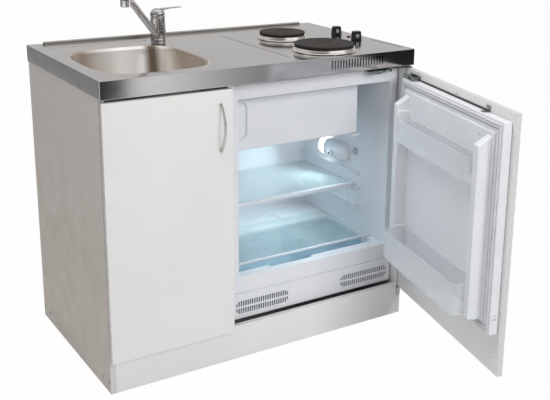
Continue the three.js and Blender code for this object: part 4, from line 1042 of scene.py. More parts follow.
zt = zf - 70
trap = turned("bottle trap", [(0, zt - 150), (22, zt - 150), (27, zt - 147), (30, zt - 141),
                              (30, zt - 118), (29, zt - 116), (29, zt - 34), (30, zt - 30), (30, zt - 20),
                              (27.5, zt - 12), (26, zt - 8), (26, zf - 60.4), (0, zf - 60.4)],
              (BOWL_X, WASTE_Y, 0), steps=56)
outlet = turned("trap outlet", [(0, 0), (20, 0), (20, 250), (19.4, 251), (19.4, 330), (0, 330)],
                (BOWL_X, WASTE_Y, zt - 55), "Y", 48)
collar = turned("outlet nut", [(0, 0), (27, 0), (29, 3), (29, 20), (24, 26), (0, 26)],
                (BOWL_X, WASTE_Y + 30, zt - 55), "Y", 10)
ribs = [turned("grip rib", [(0, z), (31, z), (31.6, z + 1), (31.6, z + 8), (31, z + 9), (0, z + 9)],
               (BOWL_X, WASTE_Y, 0), steps=16) for z in (zt - 138, zt - 30)]
weld(trap, outlet, collar, *ribs)
wear(trap, pipe_white)
fit(soften(trap, 0.6), "cabinet", "bottle_trap")

# %% [markdown]
# ## The mixer tap
# A single lever mixer: a foot and body turned from brass and chromed, a swivel
# ring that carries the long spout, and a cap with a flat lever. The spout's tube
# follows a curve and stays round. Its outlet sits in a short barrel with a grey
# flow straightener.

# %% Body
z0, seam = TOP + 0.3, TOP + 73
body = turned("tap body", [(0, TOP - 62), (14, TOP - 62), (14, z0), (23.5, z0), (24.2, z0 + 1.5),
                           (24.2, z0 + 4), (23.2, z0 + 5.5), (23, z0 + 8), (22, z0 + 8.7), (17, z0 + 8.7),
                           (17, z0 + 33.3), (22.4, z0 + 33.3), (23.3, z0 + 34.3), (23.3, seam - 6),
                           (23.0, seam - 4.6), (23.3, seam - 3.6), (23.3, seam - 1), (22.4, seam),
                           (0, seam)], (TAP_X, TAP_Y, 0), steps=72)
wear(body, chrome)
fit(soften(body, 0), "cabinet", "mixer_body")

# %% [markdown]
# The spout is a tube along a curve. Its lower end runs into the swivel ring and
# its upper end into the barrel, so the three are welded into one casting.

# %% Spout and outlet
SPOUT_TURN, REACH, OUTLET = math.radians(220), 205, TOP + 128


def along(distance, z):
    return (TAP_X + math.cos(SPOUT_TURN) * distance, TAP_Y + math.sin(SPOUT_TURN) * distance, z)


spout = tube("spout", [along(17, z0 + 21), along(60, z0 + 54), along(110, z0 + 92),
                       along(REACH - 47, OUTLET + 1), along(REACH - 32, OUTLET + 10),
                       along(REACH - 16, OUTLET + 14.5), along(REACH - 3, OUTLET + 15)], 10.3, sides=8,
             per_span=10)
swivel = turned("swivel", [(17.3, z0 + 9.3), (23.4, z0 + 9.3), (24.1, z0 + 10.3), (24.1, z0 + 31.7),
                           (23.4, z0 + 32.7), (17.3, z0 + 32.7), (17.3, z0 + 9.3)], (TAP_X, TAP_Y, 0),
                steps=72)
barrel = turned("barrel", [(12, OUTLET), (13.6, OUTLET), (14.5, OUTLET + 1), (14.5, OUTLET + 14),
                           (14.1, OUTLET + 15), (14.5, OUTLET + 16), (14.5, OUTLET + 21),
                           (13.6, OUTLET + 24), (10.5, OUTLET + 25.8), (0, OUTLET + 26.2),
                           (0, OUTLET + 10), (12, OUTLET + 10), (12, OUTLET)], along(REACH, 0), steps=64)
bore = rod("bore", (TAP_X, TAP_Y, z0), (TAP_X, TAP_Y, z0 + 60), 17.3, 72)
weld(spout, swivel, barrel)
cut(spout, bore)
wear(spout, chrome)
fit(soften(spout, 0.25, 1, 45), "spout", "mixer_spout")

straightener = turned("flow straightener", [(0, OUTLET - 0.9), (9, OUTLET - 0.9), (9.6, OUTLET - 1),
                                            (11.5, OUTLET - 1), (11.7, OUTLET), (11.7, OUTLET + 9.7),
                                            (0, OUTLET + 9.7)], along(REACH, 0), steps=48)
mesh_x, mesh_y = along(REACH, 0)[:2]
mesh_z, bars = (OUTLET - 3, OUTLET + 2), (-6, -3, 0, 3, 6)
for d in bars:
    cut(straightener, block("mesh bar", (mesh_x + d - 0.35, mesh_x + d + 0.35), (mesh_y - 9, mesh_y + 9),
                            mesh_z))
for d in bars:
    cut(straightener, block("mesh bar", (mesh_x - 9, mesh_x + 9), (mesh_y + d - 0.35, mesh_y + d + 0.35),
                            mesh_z))
wear(straightener, grey_plastic)
fit(soften(straightener, 0), "spout", "mixer_aerator")

# %% [markdown]
# The lever is a domed cap drawn out into a flat blade that thins towards its tip.
# The blade starts as a block, is narrowed and lifted section by section, and is
# welded to the turned cap before the hollow is cut for the cartridge.

# %% Lever
LEVER_TURN, BLADE_TIP = math.radians(15), 92
cap = turned("lever", [(0, seam + 0.6), (22.6, seam + 0.6), (23.5, seam + 2), (23.4, seam + 8),
                       (22.6, seam + 12.5), (20.4, seam + 17), (16.8, seam + 20.6), (12, seam + 23),
                       (6, seam + 24.3), (0, seam + 24.7)], (0, 0, 0), steps=72)
blade = block("blade", (-8, BLADE_TIP), (-9, 9), (seam + 15, seam + 22.6))
for x in (8, 24, 40, 56, 72, 84):
    split(blade, (x, 0, 0), (1, 0, 0))
for vert in blade.data.vertices:
    reach = max(0.0, vert.co.x / MM / BLADE_TIP)
    vert.co.y *= 1.0 - 0.24 * reach + 0.10 * math.sin(math.pi * reach)
    if vert.co.z / MM < seam + 18:
        vert.co.z += 5.2 * min(1.0, reach * 2.2) * MM
    vert.co.z += (2.0 - 1.2 * reach) * MM
round_edges(blade, lambda c, d: abs(d.x) > 0.6 or c.x > BLADE_TIP - 1, 1.0, 3)
weld(cap, blade)
cut(cap, rod("hollow", (0, 0, seam - 5), (0, 0, seam + 16), 20, 64))
moved(cap, Matrix.Translation((TAP_X * MM, TAP_Y * MM, 0)) @ Matrix.Rotation(LEVER_TURN, 4, "Z"))
wear(cap, chrome)
fit(soften(cap, 0), "lever", "mixer_lever")
wear(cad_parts["mixer_cartridge"], grey_plastic)
wear(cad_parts["mixer_nut"], zinc)

# %% [markdown]
# Two hoses run down from the tap to the back wall. Each is a tube along a curve in
# woven steel, with a plain crimped sleeve at its upper end.

# %% Hoses
for name, end_x in (("hose_cold", TAP_X - 60), ("hose_hot", TAP_X - 100)):
    x, y = (TAP_X - 6, TAP_Y + 4) if name == "hose_cold" else (TAP_X - 6, TAP_Y - 8)
    hose = tube(name.replace("_", " ") + " braid", [
        (x, y, TOP - 63), (x, y, TOP - 90), (x - 40, y + 6, TOP - 150), (end_x, TAP_Y + 30, TOP - 240),
        (end_x, 544, TOP - 330), (end_x, 544, TOP - 380)], 4.9, sides=4, per_span=10)
    crimp = turned("crimp", [(0, TOP - 80), (5.4, TOP - 80), (5.7, TOP - 78), (5.7, TOP - 66),
                             (5.2, TOP - 63.2), (0, TOP - 63.2)], (x, y, 0), steps=24)
    wear(hose, braid)
    wear(crimp, zinc)
    fit(gather(hose.name, [hose, crimp]), "cabinet", name)

# %% [markdown]
# ## The hob
# Each hotplate is cast iron: a raised disc with a small sunk middle, machined in
# rings, in a polished ring that stands on the sheet. Both are turned from their
# section, with close points where an edge is rounded.

# %% Hotplates and rings
PLATES = (("rear", REAR_Y, 72.5, iron_rear, rim_rear), ("front", FRONT_Y, 90, iron_front, rim_front))
GROOVES, FIRST_GROOVE = 5, 28
zp = TOP + 22
for where, y, r, iron, rim in PLATES:
    grooves = []
    for i in range(GROOVES):
        groove = FIRST_GROOVE + i * ((r - 40) / (GROOVES - 1))
        grooves += [(groove + 0.9, zp), (groove + 0.4, zp - 0.35), (groove - 0.4, zp - 0.35),
                    (groove - 0.9, zp)]
    outline = [(0, TOP - 16), (r - 20, TOP - 16), (r - 20, zp - 10), (r - 2.4, zp - 8.2),
               (r - 0.8, zp - 6.6), (r, zp - 4.6), (r, zp - 1.8), (r - 0.5, zp - 0.7), (r - 1.6, zp)]
    outline += sorted(grooves, key=lambda p: -p[0]) + [(22, zp), (21, zp - 0.4), (20.2, zp - 1.6),
                                                       (19, zp - 2), (0, zp - 2)]
    plate = turned(f"hotplate {where} casting", outline, (PLATE_X, y, 0), steps=96)
    wear(plate, iron)
    fit(soften(plate, 0), "cabinet", f"hotplate_{where}")
    collar = turned(f"hotplate {where} rim", [(r - 11, TOP + 0.4), (r + 6, TOP + 0.4), (r + 7, TOP + 0.9),
                                              (r + 7, TOP + 2.2), (r + 5.8, TOP + 3.2), (r + 4.2, TOP + 5),
                                              (r + 2.6, zp - 11.5), (r + 1.6, zp - 9.3), (r - 1, zp - 8.8),
                                              (r - 3, zp - 9), (r - 11, zp - 9.9), (r - 11, TOP + 0.4)],
                    (PLATE_X, y, 0), steps=96)
    wear(collar, rim)
    fit(soften(collar, 0), "cabinet", f"hotplate_{where}_ring")

# %% [markdown]
# The knobs are black bakelite: a skirt, a tapered grip with two flats to hold, a
# pointer line let into the top and a ring mark on the flat that looks at the user.
# Skirt and grip are turned in one, and two upright blocks cut the flats. The paint
# of the marks is a mid grey here, as a plain white shone out of so dark a knob.

# %% Knobs and lamp
FLAT = 11
pointer_paint = finish("pointer paint", (0.48, 0.48, 0.47), 0.5)
mottle(pointer_paint, ((0.52, 0.52, 0.51), (0.42, 0.42, 0.41)), 300.0)
for where, y in zip(("rear", "front"), KNOB_YS):
    knob = turned(f"knob {where} grip", [(0, TOP - 22), (3, TOP - 22), (3, TOP + 1), (16.6, TOP + 1),
                                         (17.4, TOP + 1.8), (17.4, TOP + 5), (16.8, TOP + 6.5),
                                         (16.4, TOP + 9), (15.2, TOP + 24), (14.5, TOP + 26),
                                         (13, TOP + 27), (0, TOP + 27)], (KNOB_X, y, 0), steps=64)
    for s in (-1, 1):
        flat_side = sorted((y + s * FLAT, y + s * 30))
        side_cut = block("grip side", (KNOB_X - 30, KNOB_X + 30), flat_side, (TOP + 8, TOP + 40))
        round_edges(side_cut, lambda c, d: abs(d.x) > 0.9 and c.z < TOP + 10
                    and abs(c.y - y) < FLAT + 3, 2, 4)
        cut(knob, side_cut)
    cut(knob, block("pointer groove", (KNOB_X - 14, KNOB_X - 3), (y - 0.9, y + 0.9), (TOP + 26.4, TOP + 30)))
    line = block(f"knob {where} pointer", (KNOB_X - 12.2, KNOB_X - 3.1), (y - 0.8, y + 0.8),
                 (TOP + 26.2, TOP + 26.85))
    wear(knob, black_plastic)
    fit(soften(knob, 0.5, 2), f"{where}_knob", f"knob_{where}")
    mark = turned("knob mark", [(2.6, -1), (5.4, -1), (5.4, 0.7), (2.6, 0.7), (2.6, -1)],
                  (KNOB_X - 3, y - FLAT, TOP + 13.6), "-Y", 32)
    line = gather(f"knob {where} pointer", [soften(line, 0.15, 1), soften(mark, 0.2, 1)])
    wear(line, pointer_paint)
    fit(line, f"{where}_knob")
    wear(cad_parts[f"hob_switch_{where}"], black_plastic)
jewel = turned("lamp jewel", [(0, TOP - 14), (4.7, TOP - 14), (4.7, TOP + 0.4), (6.4, TOP + 0.4),
                              (6.6, TOP + 1), (6.2, TOP + 1.6), (5.4, TOP + 1.8), (4.8, TOP + 3),
                              (3, TOP + 3.5), (0, TOP + 3.6)], (*LAMP_XY, 0), steps=40)
wear(jewel, amber)
fit(soften(jewel, 0), "cabinet", "hob_lamp")
wear(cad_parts["hob_tray"], black_steel)

# %% [markdown]
# ## Cupboard boards
# Flat-pack boards are 16 mm thick and sharp, but never knife sharp: the coat and
# the edge band break every corner by half a millimetre. A board is a cube at its
# CAD size with a small bevel. Its narrow front face gets the edge band's finish.

# %% One board for every CAD panel
def limits(node):
    """The two places of a CAD panel on each axis, in millimetres."""
    low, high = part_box(node)
    return [(a / MM, b / MM) for a, b in zip(low, high)]


def banded(piece, *ways):
    """Second finish on the narrow faces that look one of these ways."""
    for face in piece.data.polygons:
        face.material_index = int(any(face.normal.dot(Vector(way)) > 0.9 for way in ways))
    return piece


def board(node, name, ways=((0, -1, 0),), paint=None):
    piece = block(name, *limits(node))
    banded(soften(piece, 0.6, 2), *ways)
    wear(piece, paint or board_white, edge_band)
    return piece


left_side = board("side_panel_left", "left side board")
cap_grey = finish("grey screw cap", (0.36, 0.35, 0.34), 0.4)
mottle(cap_grey, ((0.38, 0.37, 0.36), (0.33, 0.32, 0.31)), 200.0)
CAP_OUTLINE = [(0, -0.4), (4.6, -0.4), (4.6, 0.5), (4.1, 1.0), (2.2, 1.3), (1.6, 0.9), (0, 0.9)]
CAP_PLACES = ((1, 32), (52, 28), (514, 29), (561, 30))
caps = [turned("screw cap", CAP_OUTLINE, (-498, y, z), "-X", 24) for y, z in CAP_PLACES]
for cap_piece in caps:
    wear(cap_piece, cap_grey)
# The left side board wears the melamine with painted shade.
wear(left_side, painted_shade_side_board, edge_band)
fit(left_side, "cabinet", "side_panel_left")
fit(soften(gather("left screw caps", caps), 0), "cabinet")
fit(board("side_panel_right", "right side board"), "cabinet", "side_panel_right")
fit(board("plinth", "plinth board", ((0, 0, 1),)), "cabinet", "plinth")
fit(board("base_panel", "cupboard floor"), "cabinet", "base_panel")
fit(board("back_panel", "cupboard back", (), back_board), "cabinet", "back_panel")
fit(board("front_rail", "front rail"), "cabinet", "front_rail")
fit(board("rear_rail", "rear rail", ((0, 0, -1),)), "cabinet", "rear_rail")
wear(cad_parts["partition"], board_white)

# %% [markdown]
# The sink door hangs on two cup hinges let into its back, and the same steel bows
# out as its handle. The recess for each cup is cut before the edges are broken.

# %% Sink door, hinge cups and arms
DOOR_X, DOOR_Y, DOOR_Z = (-497, -124), (-26, -10), (98, 822)
CUP_Z = (193, 727)
ALL_ROUND = [WAYS[way] for way in ("X", "-X", "Z", "-Z")]
door = soften(block("sink door", DOOR_X, DOOR_Y, DOOR_Z), 0.6, 2)
banded(door, *ALL_ROUND)
for z in CUP_Z:
    cut(door, block("cup recess", (-495.8, -457.2), (-24.4, -5), (z - 22.3, z + 22.3)))
wear(door, board_white, edge_band)
soften(door, 0)
fit(door, "sink_door", "cupboard_door")
for node in ("hinge_cup_lower", "hinge_cup_upper", "hinge_arm_lower", "hinge_arm_upper"):
    wear(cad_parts[node], zinc)


def screw(at, way, radius=3.2):
    """A cross-head screw whose head shows on the side it faces."""
    head = turned("screw", [(0, -1.2), (radius * 0.5, -1.2), (radius, 0.0), (radius * 0.9, 0.45), (0, 0.65)],
                  at, way, 20)
    facing = WAYS[way]
    across_ways = [axis for axis in range(3) if abs(facing[axis]) < 0.5]
    for long_axis in across_ways:
        spans = []
        for axis in range(3):
            if axis not in across_ways:
                spans.append(tuple(sorted((at[axis] + facing[axis] * 0.1, at[axis] + facing[axis] * 3))))
            else:
                half = radius * 0.6 if axis == long_axis else 0.35
                spans.append((at[axis] - half, at[axis] + half))
        cut(head, block("slot", *spans))
    wear(head, zinc)
    return soften(head, 0)


fit(gather("cup screws", [screw((-468, -8.9, z + s * 28), "Y") for z in CUP_Z for s in (-1, 1)]), "sink_door")
fit(gather("arm screws", [screw((-480.2, y, z), "X", 2.8) for z in CUP_Z for y in (12, 40)]), "cabinet")

# %% [markdown]
# The handle is one flat steel strip that bows out from the door, with a round stem
# at each end. A curve with an extruded, rounded section gives the strip.

# %% Bow handle
HX, HZ, HALF = -162, 717, 69
bow = []
for i in range(13):
    t = -1 + i / 6
    bow.append((HX, -30 - 24 * (1 - t * t) + 1.8, HZ + t * (HALF - 1.5)))
strip = tube("bow handle", bow, 1.75, sides=3, per_span=5, flat=4.1)
stems = [turned("stem", [(0, 0), (4.6, 0), (4.8, 0.5), (3.6, 1.6), (3.4, 5), (0, 5.4)],
                (HX, -26.3, HZ + s * 64), "-Y", 28) for s in (-1, 1)]
handle = gather("bow handle", [strip, *stems])
handle_steel = finish("brushed handle", (0.60, 0.59, 0.58), 0.26, 1.0)
mottle(handle_steel, ((0.64, 0.63, 0.62), (0.54, 0.53, 0.52)), 60.0, (4.0, 4.0, 0.4))
uneven_gloss(handle_steel, 80.0, 0.20, 0.34, (6.0, 6.0, 0.5))
wear(handle, handle_steel)
fit(soften(handle, 0), "sink_door", "door_handle")

# %% [markdown]
# ## Refrigerator cabinet
# The outside is painted sheet steel and the inside one white liner, sucked down
# over a mould, so all its inner corners are round. The hollow is cut with bevelled
# blocks: the larger the mould's radius, the larger the bevel on the block. The
# shelf ledges are half-round ribs pressed into both walls.

# %% Cabinet and liner
FX, FY, FZ = (-108, 476), (22, 552), (190, 818)
CX, CY, CZ = (-83, 450), (0, 518), (240, 776)
WX, WY = (-66, 433), (62, 330)
shell = rounded("refrigerator shell", FX, FY, FZ, 2.0, 2)
tub = rounded("well shell", (WX[0] - 26, WX[1] + 26), (WY[0] - 26, WY[1] + 26), (124, 200), 12, 3)
weld(shell, tub)
cavity = block("cavity", CX, (-40, CY[1]), CZ)
round_edges(cavity, lambda c, d: (abs(d.z) > 0.9 or c.z > CZ[1] - 1) and c.y > 500, 16, 5)
dip = round_edges(block("dip", (40, 196), (50, 67), (233, 245)),
                  lambda c, d: abs(d.y) > 0.9 and c.z < 234, 7, 3)
cut(shell, cavity, rounded("well", WX, WY, (150, 262), 12, 4), dip,
    rounded("switch slot", (445, 466), (185.5, 202.5), (496.5, 517.5), 1, 2))
ledges = []
for z in (392.7, 330.7, 440.7):
    for x in ((-84, -77), (444, 451)):
        free_x = x[1] if x[0] < 0 else x[0]
        ledges.append(round_edges(block("ledge", x, (170, 519), (z - 13, z)),
                                  lambda c, d: abs(c.x - free_x) < 0.5 and c.y < 518, 4.2, 4))
weld(shell, *ledges)
# Faces of the shell behind the grille get the black finish: painted shade, seen through the slots.
for face in shell.data.polygons:
    c = face.center / MM
    inside = CX[0] - 3 < c.x < CX[1] + 8 and c.y < CY[1] + 4 and 145 < c.z < CZ[1] + 3
    face.material_index = 2 if c.z < 189.6 and c.y < 60 else int(not (inside or c.y < FY[0] + 3))
wear(shell, liner, shell_paint, black_steel)
fit(soften(shell, 1.2, 2, 40), "cabinet", "fridge_cabinet")

# %% [markdown]
# Under the sill a moulded front lets air to the compressor. One slot with round
# ends is repeated by an Array modifier into a row. There are four rows, two above
# each other on both sides, and all are cut in one go. Each row is first trimmed by
# a block with round corners, so that two rows make a field with round corners. The
# wall behind a field is made thin, as in a real moulding.

# %% Ventilated front
GX0, GZ0, GZ1 = FX[0], 109, 189.7
VENTS, VENT_PITCH = 24, 7.6
ROW = (VENTS - 1) * VENT_PITCH
front = rounded("ventilated front", FX, (22, 30), (GZ0, GZ1), 1.2, 2)
slots = []
for start in (GX0 + 18, FX[1] - 18 - ROW):
    for z in ((GZ0 + 15, GZ0 + 33), (GZ0 + 38, GZ0 + 56)):
        slot = rounded("slot", (start - 2.2, start + 2.2), (10, 40), z, 2.0, 3, "Y")
        row_of(slot, VENTS, VENT_PITCH)
        field_mask = rounded("mask", (start - 3, start + ROW + 3), (5, 45), (GZ0 + 15, GZ0 + 56), 16, 6, "Y")
        apply_modifier(slot, "BOOLEAN", object=field_mask, operation="INTERSECT", solver="EXACT")
        bpy.data.objects.remove(field_mask)
        slots.append(slot)
    cut(front, block("thin wall", (start - 6, start + ROW + 6), (24.4, 40), (GZ0 + 12, GZ0 + 59)))
cut(front, gather("slots", slots))
wear(front, moulding)
fit(soften(front, 0.35, 1), "cabinet", "fridge_grille")
wear(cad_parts["fridge_base"], base_grey)

# %% [markdown]
# The compressor is a welded steel pot on a foot plate, with a terminal box and
# copper pipes. Behind the cabinet the condenser is a ladder of thin rods on two
# rails. Both show from the back and below, where the unit has no panel.

# %% Compressor and condenser
COMP_X, COMP_Y, zc = 330, 441, 29.3
pot = turned("compressor pot", [(0, zc + 8), (50, zc + 8), (60, zc + 14), (66, zc + 24), (68, zc + 36),
                                (68, zc + 66), (70.5, zc + 67), (70.5, zc + 71), (68, zc + 72),
                                (68, zc + 92), (65, zc + 106), (56, zc + 121), (42, zc + 131),
                                (26, zc + 136.5), (0, zc + 138)], (COMP_X, COMP_Y, 0), steps=64)
plate = rounded("foot plate", (COMP_X - 88, COMP_X + 88), (COMP_Y - 50, COMP_Y + 50), (zc, zc + 9.5), 2, 2)
for x in (COMP_X - 74, COMP_X + 74):
    for y in (COMP_Y - 36, COMP_Y + 36):
        cut(plate, rod("bolt hole", (x, y, zc - 5), (x, y, zc + 20), 5, 24))
wear(pot, black_steel)
wear(plate, black_steel)
terminal = rounded("terminal box", (COMP_X - 26, COMP_X + 26), (COMP_Y + 52, COMP_Y + 84),
                   (zc + 40, zc + 86), 4, 3)
wear(terminal, black_plastic)
copper = finish("copper pipe", (0.62, 0.30, 0.19), 0.3, 1.0)
mottle(copper, ((0.66, 0.33, 0.21), (0.42, 0.21, 0.14)), 60.0)
uneven_gloss(copper, 50.0, 0.22, 0.45)
pipe = tube("suction pipe", [(COMP_X - 62, COMP_Y + 20, zc + 80), (COMP_X - 84, COMP_Y + 34, zc + 84),
                             (COMP_X - 104, COMP_Y + 60, zc + 104), (COMP_X - 118, COMP_Y + 76, zc + 140),
                             (COMP_X - 120, COMP_Y + 80, FZ[0] - 1)], 4, sides=4)
wear(pipe, copper)
fit(soften(gather("compressor unit", [pot, plate, terminal, pipe]), 0), "cabinet", "compressor")

rails = [rounded("rail", (x, x + 8), (552.3, 562.3), (220, 758), 1.5, 2) for x in (-68, 428)]
heights = [240 + i * (498 / 8) for i in range(9)]
wires = [rod("condenser rod", (-66, 559, z), (434, 559, z), 3, 12) for z in heights]
fins = [rod("wire", (x, 555.6, 226), (x, 555.6, 752), 0.9, 6) for x in range(-48, 424, 12)]
for piece in rails + wires + fins:
    wear(piece, black_steel)
fit(soften(gather("condenser ladder", rails + wires + fins), 0), "cabinet", "condenser")

# %% [markdown]
# ## Inside the refrigerator
# The freezer box is an evaporator dressed in a white frame, and its flap is a
# moulding with a deep grip at the free end, which a block with a large round cuts.

# %% Freezer box and flap
PIN_X, PIN_Y = 360, 81
box_outer = block("freezer box", (-82.7, 366), (91, 517.7), (609, 775.7))
round_edges(box_outer, lambda c, d: (c.x < 0 and (c.z > 775 or c.y > 517))
            or (c.y > 517 and c.z > 775), 14, 5)
cut(box_outer, rounded("freezer space", (-78.7, 362), (80, 498), (613, 762), 6, 3))
wear(box_outer, liner)
fit(soften(box_outer, 0.8, 2), "cabinet", "freezer_box")

flap = rounded("freezer flap", (-80, 366), (75, 87), (610, 762), 4, 3)
grip = round_edges(block("flap grip", (-110, -24), (66, 83.5), (640, 757)),
                   lambda c, d: abs(d.y) > 0.9, 24, 7)
round_edges(grip, lambda c, d: c.y > 83, 6, 4)
cut(flap, grip, block("flap seam", (-70, 356), (74, 75.5), (751.2, 752)))
weld(flap, rod("flap pin", (PIN_X, PIN_Y, 602), (PIN_X, PIN_Y, 615), 2.5, 24))
wear(flap, moulding)
fit(soften(flap, 0.5, 2), "flap", "freezer_flap")
bracket = rounded("flap bearing", (348, 374), (73, 105), (600, 608), 2, 2)
cut(bracket, rod("bearing bore", (PIN_X, PIN_Y, 590), (PIN_X, PIN_Y, 620), 2.9, 24))
wear(bracket, moulding)
fit(soften(bracket, 0), "cabinet", "flap_bracket")

# %% [markdown]
# The shelf is a pane of glass in a white nosing. The nosing is one block with the
# glass slot and the corner notches cut out, then rounded. The crisper below is a
# clear moulding with a divider, under a second pane that has a ground edge.

# %% Shelf, cover and crisper
SHELF_X, COVER_X = (-81.5, 448.5), (-81, 448)
pane = block("shelf pane", SHELF_X, (196, 510), (393, 397))
round_edges(pane, lambda c, d: abs(d.z) > 0.9 and c.y > 500, 8, 4)
soften(pane, 0.7, 2)
nosing = round_edges(block("shelf nosing", SHELF_X, (192, 208), (388, 400)),
                     lambda c, d: abs(d.x) > 0.9 and c.y < 193, 4, 4)
cut(nosing, block("pane slot", (-83, 450), (195.7, 222), (392.7, 397.3)),
    block("notch", (-83, -75.5), (191, 222), (367, 395)),
    block("notch", (442.5, 450), (191, 222), (367, 395)))
wear(pane, shelf_glass)
wear(nosing, moulding)
fit(soften(pane, 0), "shelf", "glass_shelf")
fit(soften(nosing, 0.5, 2), "shelf", "shelf_trim")
cover = rounded("crisper pane", COVER_X, (105, 390), (240.3, 244.3), 0.8, 2)
wear(cover, shelf_glass)
fit(soften(cover, 0), "cover", "crisper_cover")
nose = rounded("crisper pane nosing", COVER_X, (101.5, 109), (239.6, 246.4), 1.6, 3)
cut(nose, block("pane slot", (-90, 460), (104.7, 120), (240, 244.6)))
wear(nose, moulding)
fit(soften(nose, 0), "cover")

tray = rounded("crisper tray", (-60, 427), (112, 322), (150.3, 237), 8, 4)
for x in ((-57.5, 239.75), (242.25, 424.5)):
    cut(tray, rounded("tray room", x, (114.5, 319.5), (152.8, 260), 7, 4))
weld(tray, rounded("divider plate", (227, 255), (182, 186), (170.3, 236), 1.5, 3))
wear(tray, crisper_plastic)
fit(soften(tray, 0.5, 2), "cabinet", "crisper")

# %% [markdown]
# Lamp and thermostat share a domed housing on the right wall. Its rear part is the
# glowing lens, and the dial turns in the part in front of it.

# %% Lamp housing, lens, dial and switch
def dome(name, y, z, near):
    """A block that bulges from the wall, rounded along its face and at one end."""
    end = y[0] if near else y[1]

    def on_face(c, d):
        return c.x < 413 and abs(d.y) > 0.9

    def on_end(c, d):
        return abs(c.y - end) < 1 and abs(d.y) < 0.1 and (c.x < 413 or abs(d.x) > 0.9)

    return round_edges(block(name, (412, 449.7), y, z), lambda c, d: on_face(c, d) or on_end(c, d), 24, 8)


DIAL_Y, DIAL_Z = 285, 484
housing = dome("thermostat housing", (225, 329.7), (462, 522), True)
cut(housing, rod("spindle bore", (400, DIAL_Y, DIAL_Z), (426, DIAL_Y, DIAL_Z), 3.4, 24))
wear(housing, moulding)
fit(soften(housing, 1.5, 3), "cabinet", "lamp_housing")
glass = dome("lamp glass", (330, 375), (464, 520), False)
wear(glass, lens)
fit(soften(glass, 1.2, 3), "cabinet", "lamp_lens")
dial = turned("thermostat dial", [(0, 0), (3, 0), (3, 12.6), (13.2, 12.6), (14, 13.4), (14, 18.6),
                                  (13, 19.6), (0, 20)], (424, DIAL_Y, DIAL_Z), "-X", 48)
ridges = [rod("ridge", (403, y, z), (412.8, y, z), 1.3, 8) for y, z in around(24, 14.6, (DIAL_Y, DIAL_Z))]
cut(dial, gather("ridges", ridges),
    rod("stud recess", (400, DIAL_Y, DIAL_Z), (405.6, DIAL_Y, DIAL_Z), 4.7, 24))
wear(dial, moulding)
fit(soften(dial, 0), "dial", "thermostat_dial")
stud = rod("dial stud", (404.4, DIAL_Y, DIAL_Z), (406, DIAL_Y, DIAL_Z), 4.5, 24)
wear(stud, black_plastic)
fit(soften(stud, 0), "dial")
plunger = rounded("door switch plunger", (443, 459), (186, 202), (497, 517), 2, 3)
wear(plunger, grey_plastic)
fit(soften(plunger, 0), "switch", "door_switch")

# %% [markdown]
# ## The open leaf
# The right-hand leaf is two things: a furniture board outside, and the
# refrigerator's own door behind it. Both are modelled in their closed place, where
# every face is square to an axis, and then turned 77.5 degrees about the hinge line.

# %% Furniture board
PIVOT_X, PIVOT_Y, OPEN = 492.5, -20.5, math.radians(77.5)
TO_PIVOT = Matrix.Translation((PIVOT_X * MM, PIVOT_Y * MM, 0))
FROM_PIVOT = Matrix.Translation((-PIVOT_X * MM, -PIVOT_Y * MM, 0))
SWING = TO_PIVOT @ Matrix.Rotation(OPEN, 4, "Z") @ FROM_PIVOT


def on_leaf(piece, *nodes):
    """Opens a piece about the hinge line; it then rides on the leaf."""
    return fit(moved(piece, SWING), "fridge_leaf", *nodes)


leaf_board = soften(block("furniture board", (-120, 497), DOOR_Y, DOOR_Z), 0.6, 2)
banded(leaf_board, *ALL_ROUND)
for z0, z1 in ((807, 830), (90, 113)):
    cut(leaf_board, rod("pivot bore", (PIVOT_X, PIVOT_Y, z0), (PIVOT_X, PIVOT_Y, z1), 3.4, 32))
wear(leaf_board, board_white, edge_band)
on_leaf(soften(leaf_board, 0), "furniture_panel")

# %% [markdown]
# The inner door is a steel tray filled with foam and closed by a formed liner. The
# liner's raised field and its two upright ribs, with sloped tops, are welded to the
# tray. The rib by the hinge has a wider lug at each bin, the other one is plain.
# Grooves beside the field take the seal. A rebate along the top edge makes the
# dark line between the board and this door, deepened by a black strip of painted shade set in it further on.

# %% Refrigerator door and its liner
DY = 16.3
leaf = rounded("refrigerator door", (-108, 470), (-9.7, DY), (218, 798), 2.5, 3)
field = round_edges(block("field", (-76, 441), (DY - 1, DY + 5), (244, 764)),
                    lambda c, d: c.y > DY + 4, 3.5, 3)


def door_rib(x, reach=60, z0=246, z1=757, slope=27):
    """An upright rib of the liner, sloped at its top and a little at its foot."""
    rib = block("rib", x, (DY - 1, reach), (z0, z1))
    for vert in rib.data.vertices:
        if vert.co.y > (reach - 1) * MM:
            vert.co.z += (4 if vert.co.z < (z0 + 1) * MM else -slope) * MM
    return round_edges(rib, lambda c, d: c.y > DY, 3.2, 3)


def rib_lug(z):
    """A wider block on the hinge side's rib, behind a bin."""
    return round_edges(block("lug", (401, 433.5), (DY - 1, 57), z), lambda c, d: c.y > DY, 3, 3)


weld(leaf, field, door_rib((-66, -40)), door_rib((405, 431)), rib_lug((250, 350)), rib_lug((596, 712)))
cut(leaf, block("rebate", (-90, 392), (-12, -5.5), (793.5, 800)))
for z in ((234.5, 237.5), (775.5, 778.5)):
    cut(leaf, rounded("seal groove", (-92, 454), (DY - 2.2, DY + 5), z, 1.2, 2, "X"))
for x in ((-92.5, -89.5), (451.5, 454.5)):
    cut(leaf, rounded("seal groove", x, (DY - 2.2, DY + 5), (232, 781), 1.2, 2, "Z"))
wear(leaf, moulding)
on_leaf(soften(leaf, 0.5, 2, 45), "fridge_door")

# %% [markdown]
# The seal is a bellows: seen end on it is a row of soft folds. Here it is a wide flat
# frame with two narrow frames welded on, and a bevel that makes all of them round.

# %% Seal
GX, GZ = (-102, 464), (222, 792)


def inward(span, inset):
    return span[0] + inset, span[1] - inset


